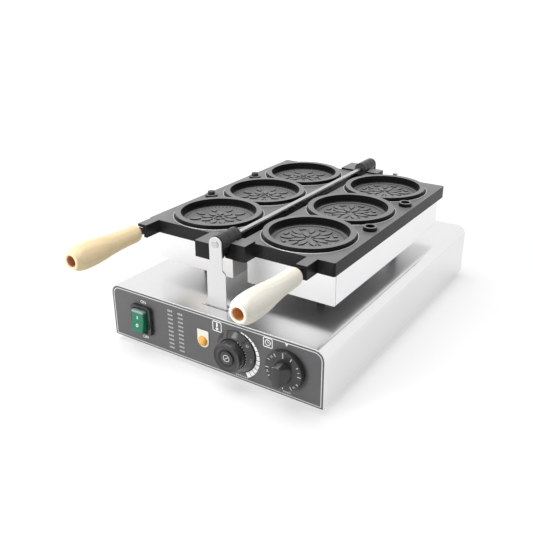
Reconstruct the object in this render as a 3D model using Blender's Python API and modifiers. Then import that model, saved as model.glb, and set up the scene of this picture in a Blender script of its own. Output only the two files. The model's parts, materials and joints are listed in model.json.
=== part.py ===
"""Coin waffle maker: two hinged mould plates over a steel control base.

The front panel faces -Y, and the plates open sideways about a rod along Y.
Lengths are in metres. The heights stack up from the table to the hinge rod.
"""
import math

import bmesh
import bpy
from mathutils import Vector

# Fits
FIT_GAP = 0.0003
RUNNING_GAP = 0.0004
CUT_OVERRUN = 0.002
PARTING_GAP = 0.0004

# Mould plates
CAVITY_DIAMETER = 0.110
CAVITY_DEPTH = 0.012
CAVITY_DRAFT = 0.0014
CAVITY_LAND = 0.0106
CAVITY_COUNT = 3
RING_WALL = 0.0083
RING_RISE = 0.0056
PLATE_THICKNESS = 0.0189
PLATE_INNER_MARGIN = 0.0013
PLATE_OUTER_MARGIN = 0.0116
PLATE_END_MARGIN = 0.0031
PLATE_SWING_GAP = 0.001
PLATE_CORNER_RADIUS = 0.003

# Hinge rod, lugs and blocks
ROD_DIAMETER = 0.006
ROD_HEAD_RADIUS = 0.0055
ROD_HEAD_LENGTH = 0.0012
ROD_CROWN_SHARE = 0.8
LUG_RADIUS = 0.0105
LUG_GAP = 0.0005
INNER_LUG_LAP = 0.0021
INNER_LUG_LENGTH = 0.0107
MIDDLE_LUG_LENGTH = 0.0130
OUTER_LUG_LENGTH = 0.0154
LUG_FOOT_SHARE = 0.1
BLOCK_LAP = 0.0016
BLOCK_RISE = 0.003
BLOCK_DROP = 0.001
LEFT_BLOCK_REACH = 0.0365
RIGHT_BLOCK_REACH = 0.0325

# Handle tabs, studs and handles
TAB_LENGTH = 0.0265
TAB_WALL = 0.0055
TAB_FLANGE = 0.0045
LEFT_TAB_INSET = 0.0025
RIGHT_TAB_INSET = 0.0242
STUD_RADIUS = 0.004
STUD_SIDE_GAP = 0.001
STUD_TOP_GAP = 0.0022
STUD_DEPTH = 0.014
STUD_COLLAR_RADIUS = 0.0062
STUD_COLLAR_LENGTH = 0.0086
STUD_NUT_RADIUS = 0.006
STUD_NUT_LENGTH = 0.005
STUD_TIP = 0.002
HANDLE_LENGTH = 0.1196
HANDLE_RADIUS = 0.0174
HANDLE_BORE_RADIUS = 0.0078
HANDLE_BORE_DEPTH = 0.030
HANDLE_SHAPE_SHARES = (
    (0.0, 0.64), (0.012, 0.70), (0.06, 0.715), (0.2, 0.72), (0.34, 0.755), (0.46, 0.83), (0.57, 0.915),
    (0.67, 0.975), (0.77, 1.0), (0.86, 0.985), (0.93, 0.92), (0.975, 0.83), (1.0, 0.72),
)

# Locating pins and sockets
PIN_INSET = 0.0145
PIN_RADIUS = 0.0057
PIN_TIP_RADIUS = 0.0047
PIN_TIP_LENGTH = 0.001
PIN_REACH = 0.0032
PIN_SEAT_DEPTH = 0.008
PIN_BOSS_RADIUS = 0.0098
PIN_BOSS_RISE = 0.0034
SOCKET_CLEARANCE = 0.0008
SOCKET_SPARE_DEPTH = 0.002

# Heater covers and what they hold
COVER_HEIGHT = 0.0465
COVER_SHEET = 0.0012
COVER_CORNER_RADIUS = 0.0015
COVER_INNER_INSET = 0.0005
COVER_OUTER_INSET = 0.0045
COVER_END_INSET = 0.0107
HEATER_RADIUS = 0.004
HEATER_HALF_SPACING = 0.0265
HEATER_END_MARGIN = 0.020
INSULATION_GAP = 0.001
INSULATION_SIDE_GAP = 0.002
COVER_BOLT_RADIUS = 0.003
COVER_BOLT_DEPTH = 0.007
COVER_BOLT_HEAD_RADIUS = 0.0055
COVER_BOLT_HEAD_LENGTH = 0.003

# Lead glands and the temperature sensor
GLAND_RADIUS = 0.0095
GLAND_LENGTH = 0.010
GLAND_NECK_RADIUS = 0.0065
GLAND_BORE_RADIUS = 0.0042
GLAND_COLLAR_SHARE = 0.6
GLAND_NUT_LENGTH = 0.004
GLAND_NUT_SHARE = 0.8
GLAND_AXIS_X = 0.030
SENSOR_X = 0.060
SENSOR_BULB_RADIUS = 0.003
SENSOR_BULB_LENGTH = 0.050
SENSOR_NUT_RADIUS = 0.0068
SENSOR_NUT_LENGTH = 0.007
SENSOR_NECK_LENGTH = 0.001
SENSOR_ELBOW_RADIUS = 0.0044
SENSOR_ELBOW_RISE = 0.0045

# Base housing
FOOT_HEIGHT = 0.009
FOOT_RADIUS = 0.012
FOOT_TAPER = 0.0015
FOOT_INSET = 0.034
FOOT_STEM_RADIUS = 0.003
FOOT_BARB_RADIUS = 0.005
FOOT_BARB_LENGTH = 0.005
BASE_HEIGHT = 0.082
BASE_SIDE_MARGIN = 0.0250
BASE_END_MARGIN = 0.021
BASE_CORNER_RADIUS = 0.014
BASE_SHEET = 0.0015
PANEL_SHEET = 0.0015
OVERLAY_SHEET = 0.001
COVER_PLATE_SHEET = 0.0015
VENT_COUNT = 5
VENT_LENGTH = 0.060
VENT_WIDTH = 0.003
VENT_GAP = 0.005

# Hinge brackets
BRACKET_SHEET = 0.002
BRACKET_GAP = 0.002
BRACKET_FOOT_WIDTH = 0.0305
BRACKET_NECK_WIDTH = 0.0198
BRACKET_SHOULDER_DROP = 0.035
BRACKET_SHOULDER_HEIGHT = 0.0045
BRACKET_FLANGE_DEPTH = 0.021
BRACKET_SCREW_SPACING = 0.018
SCREW_RADIUS = 0.002
SCREW_HEAD_RADIUS = 0.004
SCREW_HEAD_LENGTH = 0.002
SCREW_CROWN_SHARE = 0.7
SCREW_LENGTH = 0.009

# Rest posts under the heater covers
REST_HEIGHT = 0.0195
REST_TOP_RADIUS = 0.0055
REST_FOOT_RADIUS = 0.0065
REST_STEM_RADIUS = 0.003
REST_BARB_RADIUS = 0.0045
REST_BARB_LENGTH = 0.005
REST_OUTER_INSET = 0.0485
REST_END_INSET = 0.053

# Rocker switch
SWITCH_X_SHARE = -0.665
SWITCH_WIDTH = 0.036
SWITCH_HEIGHT = 0.044
SWITCH_RISE = 0.006
SWITCH_CORNER_RADIUS = 0.005
SWITCH_SIDE_WALL = 0.006
SWITCH_END_WALL = 0.0035
SWITCH_BODY_DEPTH = 0.024
SWITCH_WELL_DEPTH = 0.012
ROCKER_SIDE_GAP = 0.001
ROCKER_END_GAP = 0.0025
ROCKER_PIN_RADIUS = 0.002
ROCKER_PIN_SEAT = 0.0025
ROCKER_RISE = 0.014
ROCKER_TAIL_SHARE = 0.55
ROCKER_DISH_SHARE = 0.86
ROCKER_TILT_DEGREES = 7.0

# Indicator lamp
LAMP_X_SHARE = -0.0505
LAMP_DROP = 0.0015
LABEL_WIDTH = 0.019
LABEL_RISE = 0.0165
LABEL_SHEET = 0.0008
LENS_RADIUS = 0.0068
LENS_HEIGHT = 0.005
LENS_STEM_RADIUS = 0.0045
LAMP_BODY_RADIUS = 0.0075
LAMP_BODY_LENGTH = 0.024

# Knobs, thermostat and timer
KNOB_GAP = 0.0008
SHAFT_RADIUS = 0.003
SHAFT_IN_KNOB = 0.012
SHAFT_IN_BODY = 0.012
NECK_RADIUS = 0.0055
TEMPERATURE_X_SHARE = 0.2545
TEMPERATURE_SKIRT_RADIUS = 0.0298
TEMPERATURE_SKIRT_FRONT_RADIUS = 0.0238
TEMPERATURE_SKIRT_LENGTH = 0.0085
TEMPERATURE_GRIP_RADIUS = 0.0207
TEMPERATURE_LENGTH = 0.021
TEMPERATURE_DISH_RADIUS = 0.013
TEMPERATURE_DISH_DEPTH = 0.0012
TIMER_X_SHARE = 0.6915
TIMER_SKIRT_RADIUS = 0.0278
TIMER_SKIRT_FRONT_RADIUS = 0.0270
TIMER_SKIRT_LENGTH = 0.008
TIMER_GRIP_FOOT_LENGTH = 0.0315
TIMER_GRIP_FOOT_WIDTH = 0.029
TIMER_GRIP_FRONT_LENGTH = 0.029
TIMER_GRIP_FRONT_WIDTH = 0.011
TIMER_GRIP_CORNER_POWER = 0.25
TIMER_LENGTH = 0.0245
KNOB_EDGE_RADIUS = 0.0012
THERMOSTAT_SIZE = 0.046
THERMOSTAT_DEPTH = 0.034
TIMER_BODY_SIZE = 0.050
TIMER_BODY_DEPTH = 0.040

# Mains entry and wiring block
TERMINAL_LENGTH = 0.070
TERMINAL_WIDTH = 0.022
TERMINAL_HEIGHT = 0.020
TERMINAL_INSET = 0.060
TERMINAL_POCKETS = 5
TERMINAL_POCKET_RADIUS = 0.003
TERMINAL_POCKET_DEPTH = 0.006
MAINS_X_SHARE = 0.625
MAINS_HEIGHT = 0.032
GROMMET_RADIUS = 0.009
GROMMET_LIP = 0.002
GROMMET_BORE_RADIUS = 0.0045
GROMMET_INSET = 0.036

# Angles under which faces count as one flat face or as one round one, and over which edges are rounded
FLAT_ANGLE = math.radians(0.05)
SHARP_ANGLE = math.radians(50)
EDGE_ANGLE = math.radians(40)

# Ends of the arcs that wrap the lugs round the rod, in degrees
LUG_WRAP = 205

# Facets round a full turn
FINE_SIDES = 48
ROUND_SIDES = 24
SMALL_SIDES = 16
SCREW_SIDES = 8
HEX_SIDES = 6
ARC_STEPS = 4
BEVEL_SEGMENTS = 2
PAN_BEVEL_SEGMENTS = 3
MERGE_SHARE = 0.01

# Places worked out from the sizes above
CAVITY_RADIUS = CAVITY_DIAMETER / 2
RING_RADIUS = CAVITY_RADIUS + RING_WALL
CAVITY_PITCH = CAVITY_DIAMETER + CAVITY_LAND
PLATE_TO_AXIS = LUG_RADIUS + PLATE_SWING_GAP
CAVITY_ROW_X = PLATE_TO_AXIS + PLATE_INNER_MARGIN + RING_RADIUS
PLATE_OUTER_X = CAVITY_ROW_X + RING_RADIUS + PLATE_OUTER_MARGIN
PLATE_END_Y = CAVITY_PITCH * (CAVITY_COUNT - 1) / 2 + RING_RADIUS + PLATE_END_MARGIN
BLOCK_INNER_X = PLATE_TO_AXIS + LUG_GAP
BLOCK_ROOT_Y = PLATE_END_Y - BLOCK_LAP

INNER_LUG_Y = PLATE_END_Y - INNER_LUG_LAP
MIDDLE_LUG_Y = INNER_LUG_Y + INNER_LUG_LENGTH + LUG_GAP
OUTER_LUG_Y = MIDDLE_LUG_Y + MIDDLE_LUG_LENGTH + LUG_GAP
OUTER_LUG_END_Y = OUTER_LUG_Y + OUTER_LUG_LENGTH
BRACKET_Y = OUTER_LUG_END_Y + BRACKET_GAP
BRACKET_OUTER_Y = BRACKET_Y + BRACKET_SHEET

BASE_HALF_WIDTH = PLATE_OUTER_X + BASE_SIDE_MARGIN
BASE_HALF_DEPTH = BRACKET_OUTER_Y + BASE_END_MARGIN
BASE_BOTTOM_Z = FOOT_HEIGHT
BASE_TOP_Z = BASE_BOTTOM_Z + BASE_HEIGHT
PANEL_MIDDLE_Z = BASE_BOTTOM_Z + BASE_HEIGHT / 2
COVER_BOTTOM_Z = BASE_TOP_Z + REST_HEIGHT
PLATE_BOTTOM_Z = COVER_BOTTOM_Z + COVER_HEIGHT + FIT_GAP
PLATE_TOP_Z = PLATE_BOTTOM_Z + PLATE_THICKNESS
RING_TOP_Z = PLATE_TOP_Z + RING_RISE
CAVITY_FLOOR_Z = RING_TOP_Z - CAVITY_DEPTH
HINGE_Z = RING_TOP_Z + PARTING_GAP / 2
BLOCK_TOP_Z = PLATE_TOP_Z + BLOCK_RISE
BLOCK_BOTTOM_Z = PLATE_BOTTOM_Z - BLOCK_DROP
TAB_WIDTH = TAB_WALL + 2 * (STUD_RADIUS + STUD_SIDE_GAP)
STUD_Z = PLATE_TOP_Z - TAB_FLANGE - STUD_TOP_GAP - STUD_RADIUS
STUD_WELL_Y = PLATE_END_Y - STUD_DEPTH

HANDLE_PLATE_END_Y = PLATE_END_Y + TAB_LENGTH + STUD_COLLAR_LENGTH + 2 * FIT_GAP
HANDLE_FREE_END_Y = HANDLE_PLATE_END_Y + HANDLE_LENGTH
REAR_REACH_Y = BASE_HALF_DEPTH + GLAND_LENGTH - FIT_GAP
FRAME_SHIFT_Y = (HANDLE_FREE_END_Y - REAR_REACH_Y) / 2

COVER_INNER_X = PLATE_TO_AXIS + COVER_INNER_INSET
COVER_OUTER_X = PLATE_OUTER_X - COVER_OUTER_INSET
COVER_END_Y = PLATE_END_Y - COVER_END_INSET
HEATER_Z = PLATE_BOTTOM_Z - FIT_GAP - HEATER_RADIUS
GLAND_Z = COVER_BOTTOM_Z + COVER_HEIGHT / 2
SENSOR_Z = (PLATE_BOTTOM_Z + CAVITY_FLOOR_Z) / 2

PIN_X = PLATE_OUTER_X - PIN_INSET
PIN_Y = CAVITY_PITCH / 2
PIN_BOSS_TOP_Z = PLATE_TOP_Z + PIN_BOSS_RISE
PIN_FOOT_Z = PIN_BOSS_TOP_Z - PIN_SEAT_DEPTH
PIN_TOP_Z = RING_TOP_Z + PIN_REACH
SOCKET_FLOOR_Z = RING_TOP_Z - PIN_REACH - SOCKET_SPARE_DEPTH

REST_X = COVER_OUTER_X - REST_OUTER_INSET
REST_Y = COVER_END_Y - REST_END_INSET
PANEL_FRONT_Y = -BASE_HALF_DEPTH
OVERLAY_BACK_Y = PANEL_FRONT_Y + OVERLAY_SHEET
SHEET_FRONT_Y = OVERLAY_BACK_Y + FIT_GAP
SHEET_BACK_Y = SHEET_FRONT_Y + PANEL_SHEET
SWITCH_X = BASE_HALF_WIDTH * SWITCH_X_SHARE
LAMP_X = BASE_HALF_WIDTH * LAMP_X_SHARE
LAMP_Z = PANEL_MIDDLE_Z - LAMP_DROP
TEMPERATURE_X = BASE_HALF_WIDTH * TEMPERATURE_X_SHARE
TIMER_X = BASE_HALF_WIDTH * TIMER_X_SHARE
MAINS_X = BASE_HALF_WIDTH * MAINS_X_SHARE
SWITCH_BODY_INSET = min(SWITCH_END_WALL, SWITCH_SIDE_WALL) / 2
ROCKER_WIDTH = SWITCH_WIDTH - 2 * (SWITCH_SIDE_WALL + ROCKER_SIDE_GAP)
ROCKER_HEIGHT = SWITCH_HEIGHT - 2 * (SWITCH_END_WALL + ROCKER_END_GAP)


def clear_scene():
    """Remove every object of the open scene."""
    for obj in list(bpy.data.objects):
        bpy.data.objects.remove(obj, do_unlink=True)


def new_collection(name):
    """Add a collection to the scene."""
    collection = bpy.data.collections.new(name)
    bpy.context.scene.collection.children.link(collection)
    return collection


clear_scene()
PARTS = new_collection("coin_waffle_maker")
CUTTERS = new_collection("coin_waffle_maker_cutters")


def surface(name, color, roughness, metallic=0.0, transmission=0.0):
    """Make a Principled material."""
    material = bpy.data.materials.new(name)
    material.use_nodes = True
    shader = material.node_tree.nodes["Principled BSDF"]
    shader.inputs["Base Color"].default_value = (*color, 1.0)
    shader.inputs["Roughness"].default_value = roughness
    shader.inputs["Metallic"].default_value = metallic
    shader.inputs["Transmission Weight"].default_value = transmission
    material.diffuse_color = (*color, 1.0)
    return material


def empty(name, location, parent=None):
    """Add an empty that carries pieces."""
    obj = bpy.data.objects.new(name, None)
    obj.location = location
    obj.parent = parent
    PARTS.objects.link(obj)
    return obj


MACHINE = empty("machine", (0, FRAME_SHIFT_Y, 0))


def add_mesh(name, fill, smooth=False):
    """Make an object from a function that fills a bmesh."""
    shape = bmesh.new()
    fill(shape)
    mesh = bpy.data.meshes.new(name)
    shape.to_mesh(mesh)
    shape.free()
    if smooth:
        shade(mesh)
    obj = bpy.data.objects.new(name, mesh)
    CUTTERS.objects.link(obj)
    obj.parent = MACHINE
    return obj


def box(name, low, high):
    """Make a box between two corners."""
    size = Vector(high) - Vector(low)

    def fill(shape):
        bmesh.ops.create_cube(shape, size=1)
        bmesh.ops.scale(shape, vec=size, verts=shape.verts)

    obj = add_mesh(name, fill)
    obj.location = (Vector(low) + Vector(high)) / 2
    return obj


def bar(name, radius, start, end, sides=ROUND_SIDES, end_radius=None):
    """Make a round bar, or a cone, between two points."""
    run = Vector(end) - Vector(start)

    def fill(shape):
        top = radius if end_radius is None else end_radius
        bmesh.ops.create_cone(shape, cap_ends=True, segments=sides, radius1=radius, radius2=top,
                              depth=run.length)

    obj = add_mesh(name, fill, smooth=True)
    obj.location = (Vector(start) + Vector(end)) / 2
    obj.rotation_euler = run.to_track_quat("Z", "Y").to_euler()
    return obj


def shade(mesh):
    """Shade the round faces of a mesh smooth, and keep its edges sharp."""
    mesh.shade_smooth()
    mesh.set_sharp_from_angle(angle=SHARP_ANGLE)


def as_mesh(curve_object):
    """Turn a curve object into a welded mesh object in the same place, with whole flat faces."""
    bpy.context.view_layer.update()
    graph = bpy.context.evaluated_depsgraph_get()
    mesh = bpy.data.meshes.new_from_object(curve_object.evaluated_get(graph))
    shape = bmesh.new()
    shape.from_mesh(mesh)
    bmesh.ops.remove_doubles(shape, verts=shape.verts, dist=FIT_GAP * MERGE_SHARE)
    bmesh.ops.dissolve_limit(shape, angle_limit=FLAT_ANGLE, verts=shape.verts, edges=shape.edges)
    bmesh.ops.recalc_face_normals(shape, faces=shape.faces)
    shape.to_mesh(mesh)
    shape.free()
    shade(mesh)
    name = curve_object.name
    place = curve_object.matrix_world.copy()
    bpy.data.objects.remove(curve_object, do_unlink=True)
    obj = bpy.data.objects.new(name, mesh)
    CUTTERS.objects.link(obj)
    obj.parent = MACHINE
    obj.matrix_parent_inverse = MACHINE.matrix_world.inverted()
    obj.matrix_world = place
    return obj


TURNS = {
    "XY": (0, 0, 0),
    "XZ": (math.pi / 2, 0, 0),
    "YZ": (math.pi / 2, 0, math.pi / 2),
}


def slab(name, loops, plane, start, end):
    """Extrude flat outlines: the first is the outer one, the rest are holes.

    The outlines lie in the named plane, and start and end are places along the axis across it.
    """
    curve = bpy.data.curves.new(name, "CURVE")
    curve.dimensions = "2D"
    curve.fill_mode = "BOTH"
    curve.extrude = abs(end - start) / 2
    for loop in loops:
        spline = curve.splines.new("POLY")
        spline.points.add(len(loop) - 1)
        for point, (across, up) in zip(spline.points, loop):
            point.co = (across, up, 0, 1)
        spline.use_cyclic_u = True
    obj = bpy.data.objects.new(name, curve)
    CUTTERS.objects.link(obj)
    obj.parent = MACHINE
    obj.rotation_euler = TURNS[plane]
    middle = (start + end) / 2
    obj.location = {"XY": (0, 0, middle), "XZ": (0, middle, 0), "YZ": (middle, 0, 0)}[plane]
    return as_mesh(obj)


def tube(name, points, radius):
    """Make a bent tube along a list of points."""
    curve = bpy.data.curves.new(name, "CURVE")
    curve.dimensions = "3D"
    curve.bevel_depth = radius
    curve.bevel_resolution = 2
    curve.use_fill_caps = True
    spline = curve.splines.new("POLY")
    spline.points.add(len(points) - 1)
    for point, place in zip(spline.points, points):
        point.co = (*place, 1)
    obj = bpy.data.objects.new(name, curve)
    CUTTERS.objects.link(obj)
    obj.parent = MACHINE
    return as_mesh(obj)


def turned(name, profile, location, axis, sides=ROUND_SIDES, ring=False):
    """Turn a profile of (radius, along) points about an axis through a place.

    The profile runs down its outer side, from the far end of the axis to the near one. A ring's
    profile closes on itself and leaves a bore.
    """
    def fill(shape):
        points = [shape.verts.new((radius, 0, along)) for radius, along in profile]
        for first, second in zip(points, points[1:]):
            shape.edges.new((first, second))
        if ring:
            shape.edges.new((points[-1], points[0]))

    obj = add_mesh(name, fill)
    screw = obj.modifiers.new("turn", "SCREW")
    screw.axis = "Z"
    screw.steps = sides
    screw.render_steps = sides
    screw.use_merge_vertices = True
    screw.merge_threshold = FIT_GAP * MERGE_SHARE
    bpy.context.view_layer.update()
    graph = bpy.context.evaluated_depsgraph_get()
    mesh = bpy.data.meshes.new_from_object(obj.evaluated_get(graph))
    obj.modifiers.clear()
    obj.data = mesh
    shade(mesh)
    obj.location = location
    obj.rotation_euler = Vector(axis).to_track_quat("Z", "Y").to_euler()
    return obj


def cut(target, *cutters):
    """Take cutters away from a piece."""
    for cutter in cutters:
        combine(target, cutter, "DIFFERENCE")


def join(target, *others):
    """Unite a piece with solids that overlap it."""
    for other in others:
        combine(target, other, "UNION")


def combine(target, other, operation):
    """Add one Boolean step, and hide the solid that it uses."""
    step = target.modifiers.new(other.name, "BOOLEAN")
    step.operation = operation
    step.object = other
    step.solver = "EXACT"
    other.hide_render = True
    other.display_type = "WIRE"


def soften(obj, width, segments=BEVEL_SEGMENTS):
    """Round the sharp edges of a piece."""
    bevel = obj.modifiers.new("edges", "BEVEL")
    bevel.width = width
    bevel.segments = segments
    bevel.limit_method = "ANGLE"
    bevel.angle_limit = EDGE_ANGLE


def part(obj, material, carrier=None):
    """Give a piece its material, and hand it to what carries it."""
    obj.data.materials.clear()
    obj.data.materials.append(material)
    CUTTERS.objects.unlink(obj)
    PARTS.objects.link(obj)
    if carrier:
        bpy.context.view_layer.update()
        place = obj.matrix_world.copy()
        obj.parent = carrier
        obj.matrix_parent_inverse = carrier.matrix_world.inverted()
        obj.matrix_world = place
    return obj


def arc(centre, radius, start, end, steps):
    """Points along an arc, with angles in degrees."""
    points = []
    for step in range(steps + 1):
        angle = math.radians(start + (end - start) * step / steps)
        points.append((centre[0] + radius * math.cos(angle), centre[1] + radius * math.sin(angle)))
    return points


def circle(centre, radius, sides=ROUND_SIDES):
    """Points round a circle."""
    return arc(centre, radius, 0, 360 * (sides - 1) / sides, sides - 1)


def rounded_rectangle(low, high, radius, steps=ARC_STEPS):
    """Outline of a rectangle with four rounded corners."""
    (left, bottom), (right, top) = low, high
    points = arc((right - radius, bottom + radius), radius, -90, 0, steps)
    points += arc((right - radius, top - radius), radius, 0, 90, steps)
    points += arc((left + radius, top - radius), radius, 90, 180, steps)
    points += arc((left + radius, bottom + radius), radius, 180, 270, steps)
    return points


def merged_rings(x):
    """Outline of the ring walls of one row of cavities, which run into each other."""
    half_angle = math.degrees(math.acos(CAVITY_PITCH / 2 / RING_RADIUS))
    quarter = FINE_SIDES // 4
    first = -(CAVITY_COUNT - 1) / 2
    points = []
    for index in range(CAVITY_COUNT):
        y = (first + index) * CAVITY_PITCH
        low = -90 if index == 0 else half_angle - 90
        high = 90 if index == CAVITY_COUNT - 1 else 90 - half_angle
        side = arc((x, y), RING_RADIUS, low, high, 2 * quarter)
        points += side if index == 0 else side[1:]
    mirrored = [(2 * x - across, up) for across, up in reversed(points)]
    return points + mirrored[1:-1]


def cavity_centres():
    """Places of the cavities along the row."""
    first = -(CAVITY_COUNT - 1) / 2
    return [(first + index) * CAVITY_PITCH for index in range(CAVITY_COUNT)]


def lug_outline(side, reach):
    """Outline, seen along the rod, of a lug round the rod and the foot or block that it grows out of."""
    rise = BLOCK_TOP_Z - HINGE_Z
    start = math.degrees(math.asin(rise / LUG_RADIUS))
    points = [(LUG_RADIUS * LUG_FOOT_SHARE, BLOCK_BOTTOM_Z), (reach, BLOCK_BOTTOM_Z), (reach, BLOCK_TOP_Z)]
    points += arc((0, HINGE_Z), LUG_RADIUS, start, LUG_WRAP, ROUND_SIDES // 2)
    return [(side * x, z) for x, z in points]


def tab_left_edge(side):
    """Place of the left edge of a plate's handle tab."""
    if side < 0:
        return -PLATE_OUTER_X + LEFT_TAB_INSET
    return PLATE_OUTER_X - RIGHT_TAB_INSET - TAB_WIDTH


def stud_x(side):
    """Place of a handle's axis, in the open part of its tab."""
    return tab_left_edge(side) + (TAB_WIDTH - TAB_WALL) / 2


def mould_plate(name, side, material, carrier):
    """Cast plate with ring walls, cavities, hinge blocks, lugs and handle tab."""
    tab_left = tab_left_edge(side)
    inner_x, outer_x = sorted((side * PLATE_TO_AXIS, side * PLATE_OUTER_X))
    outline = rounded_rectangle((inner_x, -PLATE_END_Y), (outer_x, PLATE_END_Y), PLATE_CORNER_RADIUS)
    plate = slab(name, [outline], "XY", PLATE_BOTTOM_Z, PLATE_TOP_Z)
    tab_right = tab_left + TAB_WIDTH
    tab_root, tab_tip = BLOCK_LAP - PLATE_END_Y, -PLATE_END_Y - TAB_LENGTH
    tab = [(tab_left, tab_root), (tab_left, tab_tip), (tab_right, tab_tip), (tab_right, tab_root)]
    join(plate, slab(name + "_tab", [tab], "XY", PLATE_BOTTOM_Z, PLATE_TOP_Z))
    x = side * CAVITY_ROW_X
    join(plate, slab(name + "_rings", [merged_rings(x)], "XY", CAVITY_FLOOR_Z - RING_RISE, RING_TOP_Z))
    for end in (-1, 1):
        tag = name + ("_front" if end < 0 else "_rear")
        join(plate, hinge_end(tag, side, end))
    for index, y in enumerate(cavity_centres()):
        cutter = bar("%s_cavity_%d" % (name, index), CAVITY_RADIUS - CAVITY_DRAFT, (x, y, CAVITY_FLOOR_Z),
                     (x, y, RING_TOP_Z + CAVITY_DEPTH), FINE_SIDES, CAVITY_RADIUS + CAVITY_DRAFT)
        cut(plate, cutter)
    boss_top = PIN_BOSS_TOP_Z if side < 0 else RING_TOP_Z
    for y in (-PIN_Y, PIN_Y):
        tag = name + ("_front" if y < 0 else "_rear")
        boss = bar(tag + "_boss", PIN_BOSS_RADIUS, (side * PIN_X, y, PIN_FOOT_Z - CUT_OVERRUN),
                   (side * PIN_X, y, boss_top), SMALL_SIDES)
        join(plate, boss)
        radius = PIN_RADIUS + (FIT_GAP if side < 0 else SOCKET_CLEARANCE)
        floor = PIN_FOOT_Z if side < 0 else SOCKET_FLOOR_Z
        hole = bar(tag + "_pin_hole", radius, (side * PIN_X, y, floor),
                   (side * PIN_X, y, boss_top + CUT_OVERRUN), SMALL_SIDES)
        cut(plate, hole)
    for place, (bolt_x, bolt_y) in cover_bolt_places(side).items():
        bolt_hole = bar("%s_%s_bolt_hole" % (name, place), COVER_BOLT_RADIUS + FIT_GAP,
                        (bolt_x, bolt_y, PLATE_BOTTOM_Z - CUT_OVERRUN),
                        (bolt_x, bolt_y, PLATE_BOTTOM_Z + COVER_BOLT_DEPTH + FIT_GAP), SMALL_SIDES)
        cut(plate, bolt_hole)
    front = -PLATE_END_Y
    under_tab = box(name + "_under_tab", (tab_left - CUT_OVERRUN, front - TAB_LENGTH - CUT_OVERRUN,
                                          PLATE_BOTTOM_Z - CUT_OVERRUN),
                    (tab_left + TAB_WIDTH - TAB_WALL, front - FIT_GAP, PLATE_TOP_Z - TAB_FLANGE))
    stud_hole = bar(name + "_stud_hole", STUD_RADIUS + FIT_GAP, (stud_x(side), -STUD_WELL_Y, STUD_Z),
                    (stud_x(side), front - CUT_OVERRUN, STUD_Z), SMALL_SIDES)
    cut(plate, under_tab, stud_hole)
    if side < 0:
        cut(plate, rod_bore(name))
    if side > 0:
        bulb_hole = bar(name + "_bulb_hole", SENSOR_BULB_RADIUS + FIT_GAP,
                        (SENSOR_X, PLATE_END_Y + CUT_OVERRUN, SENSOR_Z),
                        (SENSOR_X, PLATE_END_Y - SENSOR_BULB_LENGTH - FIT_GAP, SENSOR_Z), SMALL_SIDES)
        cut(plate, bulb_hole)
    return part(plate, material, carrier)


def hinge_end(tag, side, end):
    """Solid of one end's hinge: the right plate's block, or the left plate's block and outer lug."""
    if side > 0:
        low_y, high_y = sorted((end * BLOCK_ROOT_Y, end * (MIDDLE_LUG_Y + MIDDLE_LUG_LENGTH)))
        return box(tag + "_block", (BLOCK_INNER_X + FIT_GAP, low_y, BLOCK_BOTTOM_Z),
                   (RIGHT_BLOCK_REACH, high_y, BLOCK_TOP_Z))
    block = slab(tag + "_block", [lug_outline(side, LEFT_BLOCK_REACH)], "XZ", end * BLOCK_ROOT_Y,
                 end * OUTER_LUG_END_Y)
    low_y, high_y = sorted((end * INNER_LUG_Y, end * OUTER_LUG_Y))
    beside = box(tag + "_beside_lug", (-PLATE_TO_AXIS, low_y, BLOCK_BOTTOM_Z - CUT_OVERRUN),
                 (LEFT_BLOCK_REACH, high_y, HINGE_Z + LUG_RADIUS + CUT_OVERRUN))
    cut(block, beside)
    return block


def rod_bore(name):
    """Cutter for the rod's way through the lugs."""
    return bar(name + "_rod_hole", ROD_DIAMETER / 2 + RUNNING_GAP, (0, -BRACKET_OUTER_Y, HINGE_Z),
               (0, BRACKET_OUTER_Y, HINGE_Z), ROUND_SIDES)


def hinge_knuckles(word, side, material, carrier):
    """A plate's two knuckles that stand against the inner sides of its blocks."""
    start, length = (INNER_LUG_Y, INNER_LUG_LENGTH) if side < 0 else (MIDDLE_LUG_Y, MIDDLE_LUG_LENGTH)
    reach = PLATE_TO_AXIS - FIT_GAP if side < 0 else BLOCK_INNER_X
    for place, end in (("front", -1), ("rear", 1)):
        name = "%s_%s_hinge_knuckle" % (place, word)
        knuckle = slab(name, [lug_outline(side, reach)], "XZ", end * start, end * (start + length))
        cut(knuckle, rod_bore(name))
        part(knuckle, material, carrier)


def locating_pins(material, carrier):
    """Two pins in the left plate that enter the right plate's sockets."""
    shoulder_z = PIN_TOP_Z - PIN_TIP_LENGTH
    foot_z = PIN_FOOT_Z + FIT_GAP
    profile = [(0, PIN_TOP_Z), (PIN_TIP_RADIUS, PIN_TOP_Z), (PIN_RADIUS, shoulder_z)]
    profile += [(PIN_RADIUS, foot_z), (0, foot_z)]
    for word, y in (("front", -PIN_Y), ("rear", PIN_Y)):
        pin = turned(word + "_locating_pin", profile, (-PIN_X, y, 0), (0, 0, 1), SMALL_SIDES)
        part(pin, material, carrier)


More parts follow.
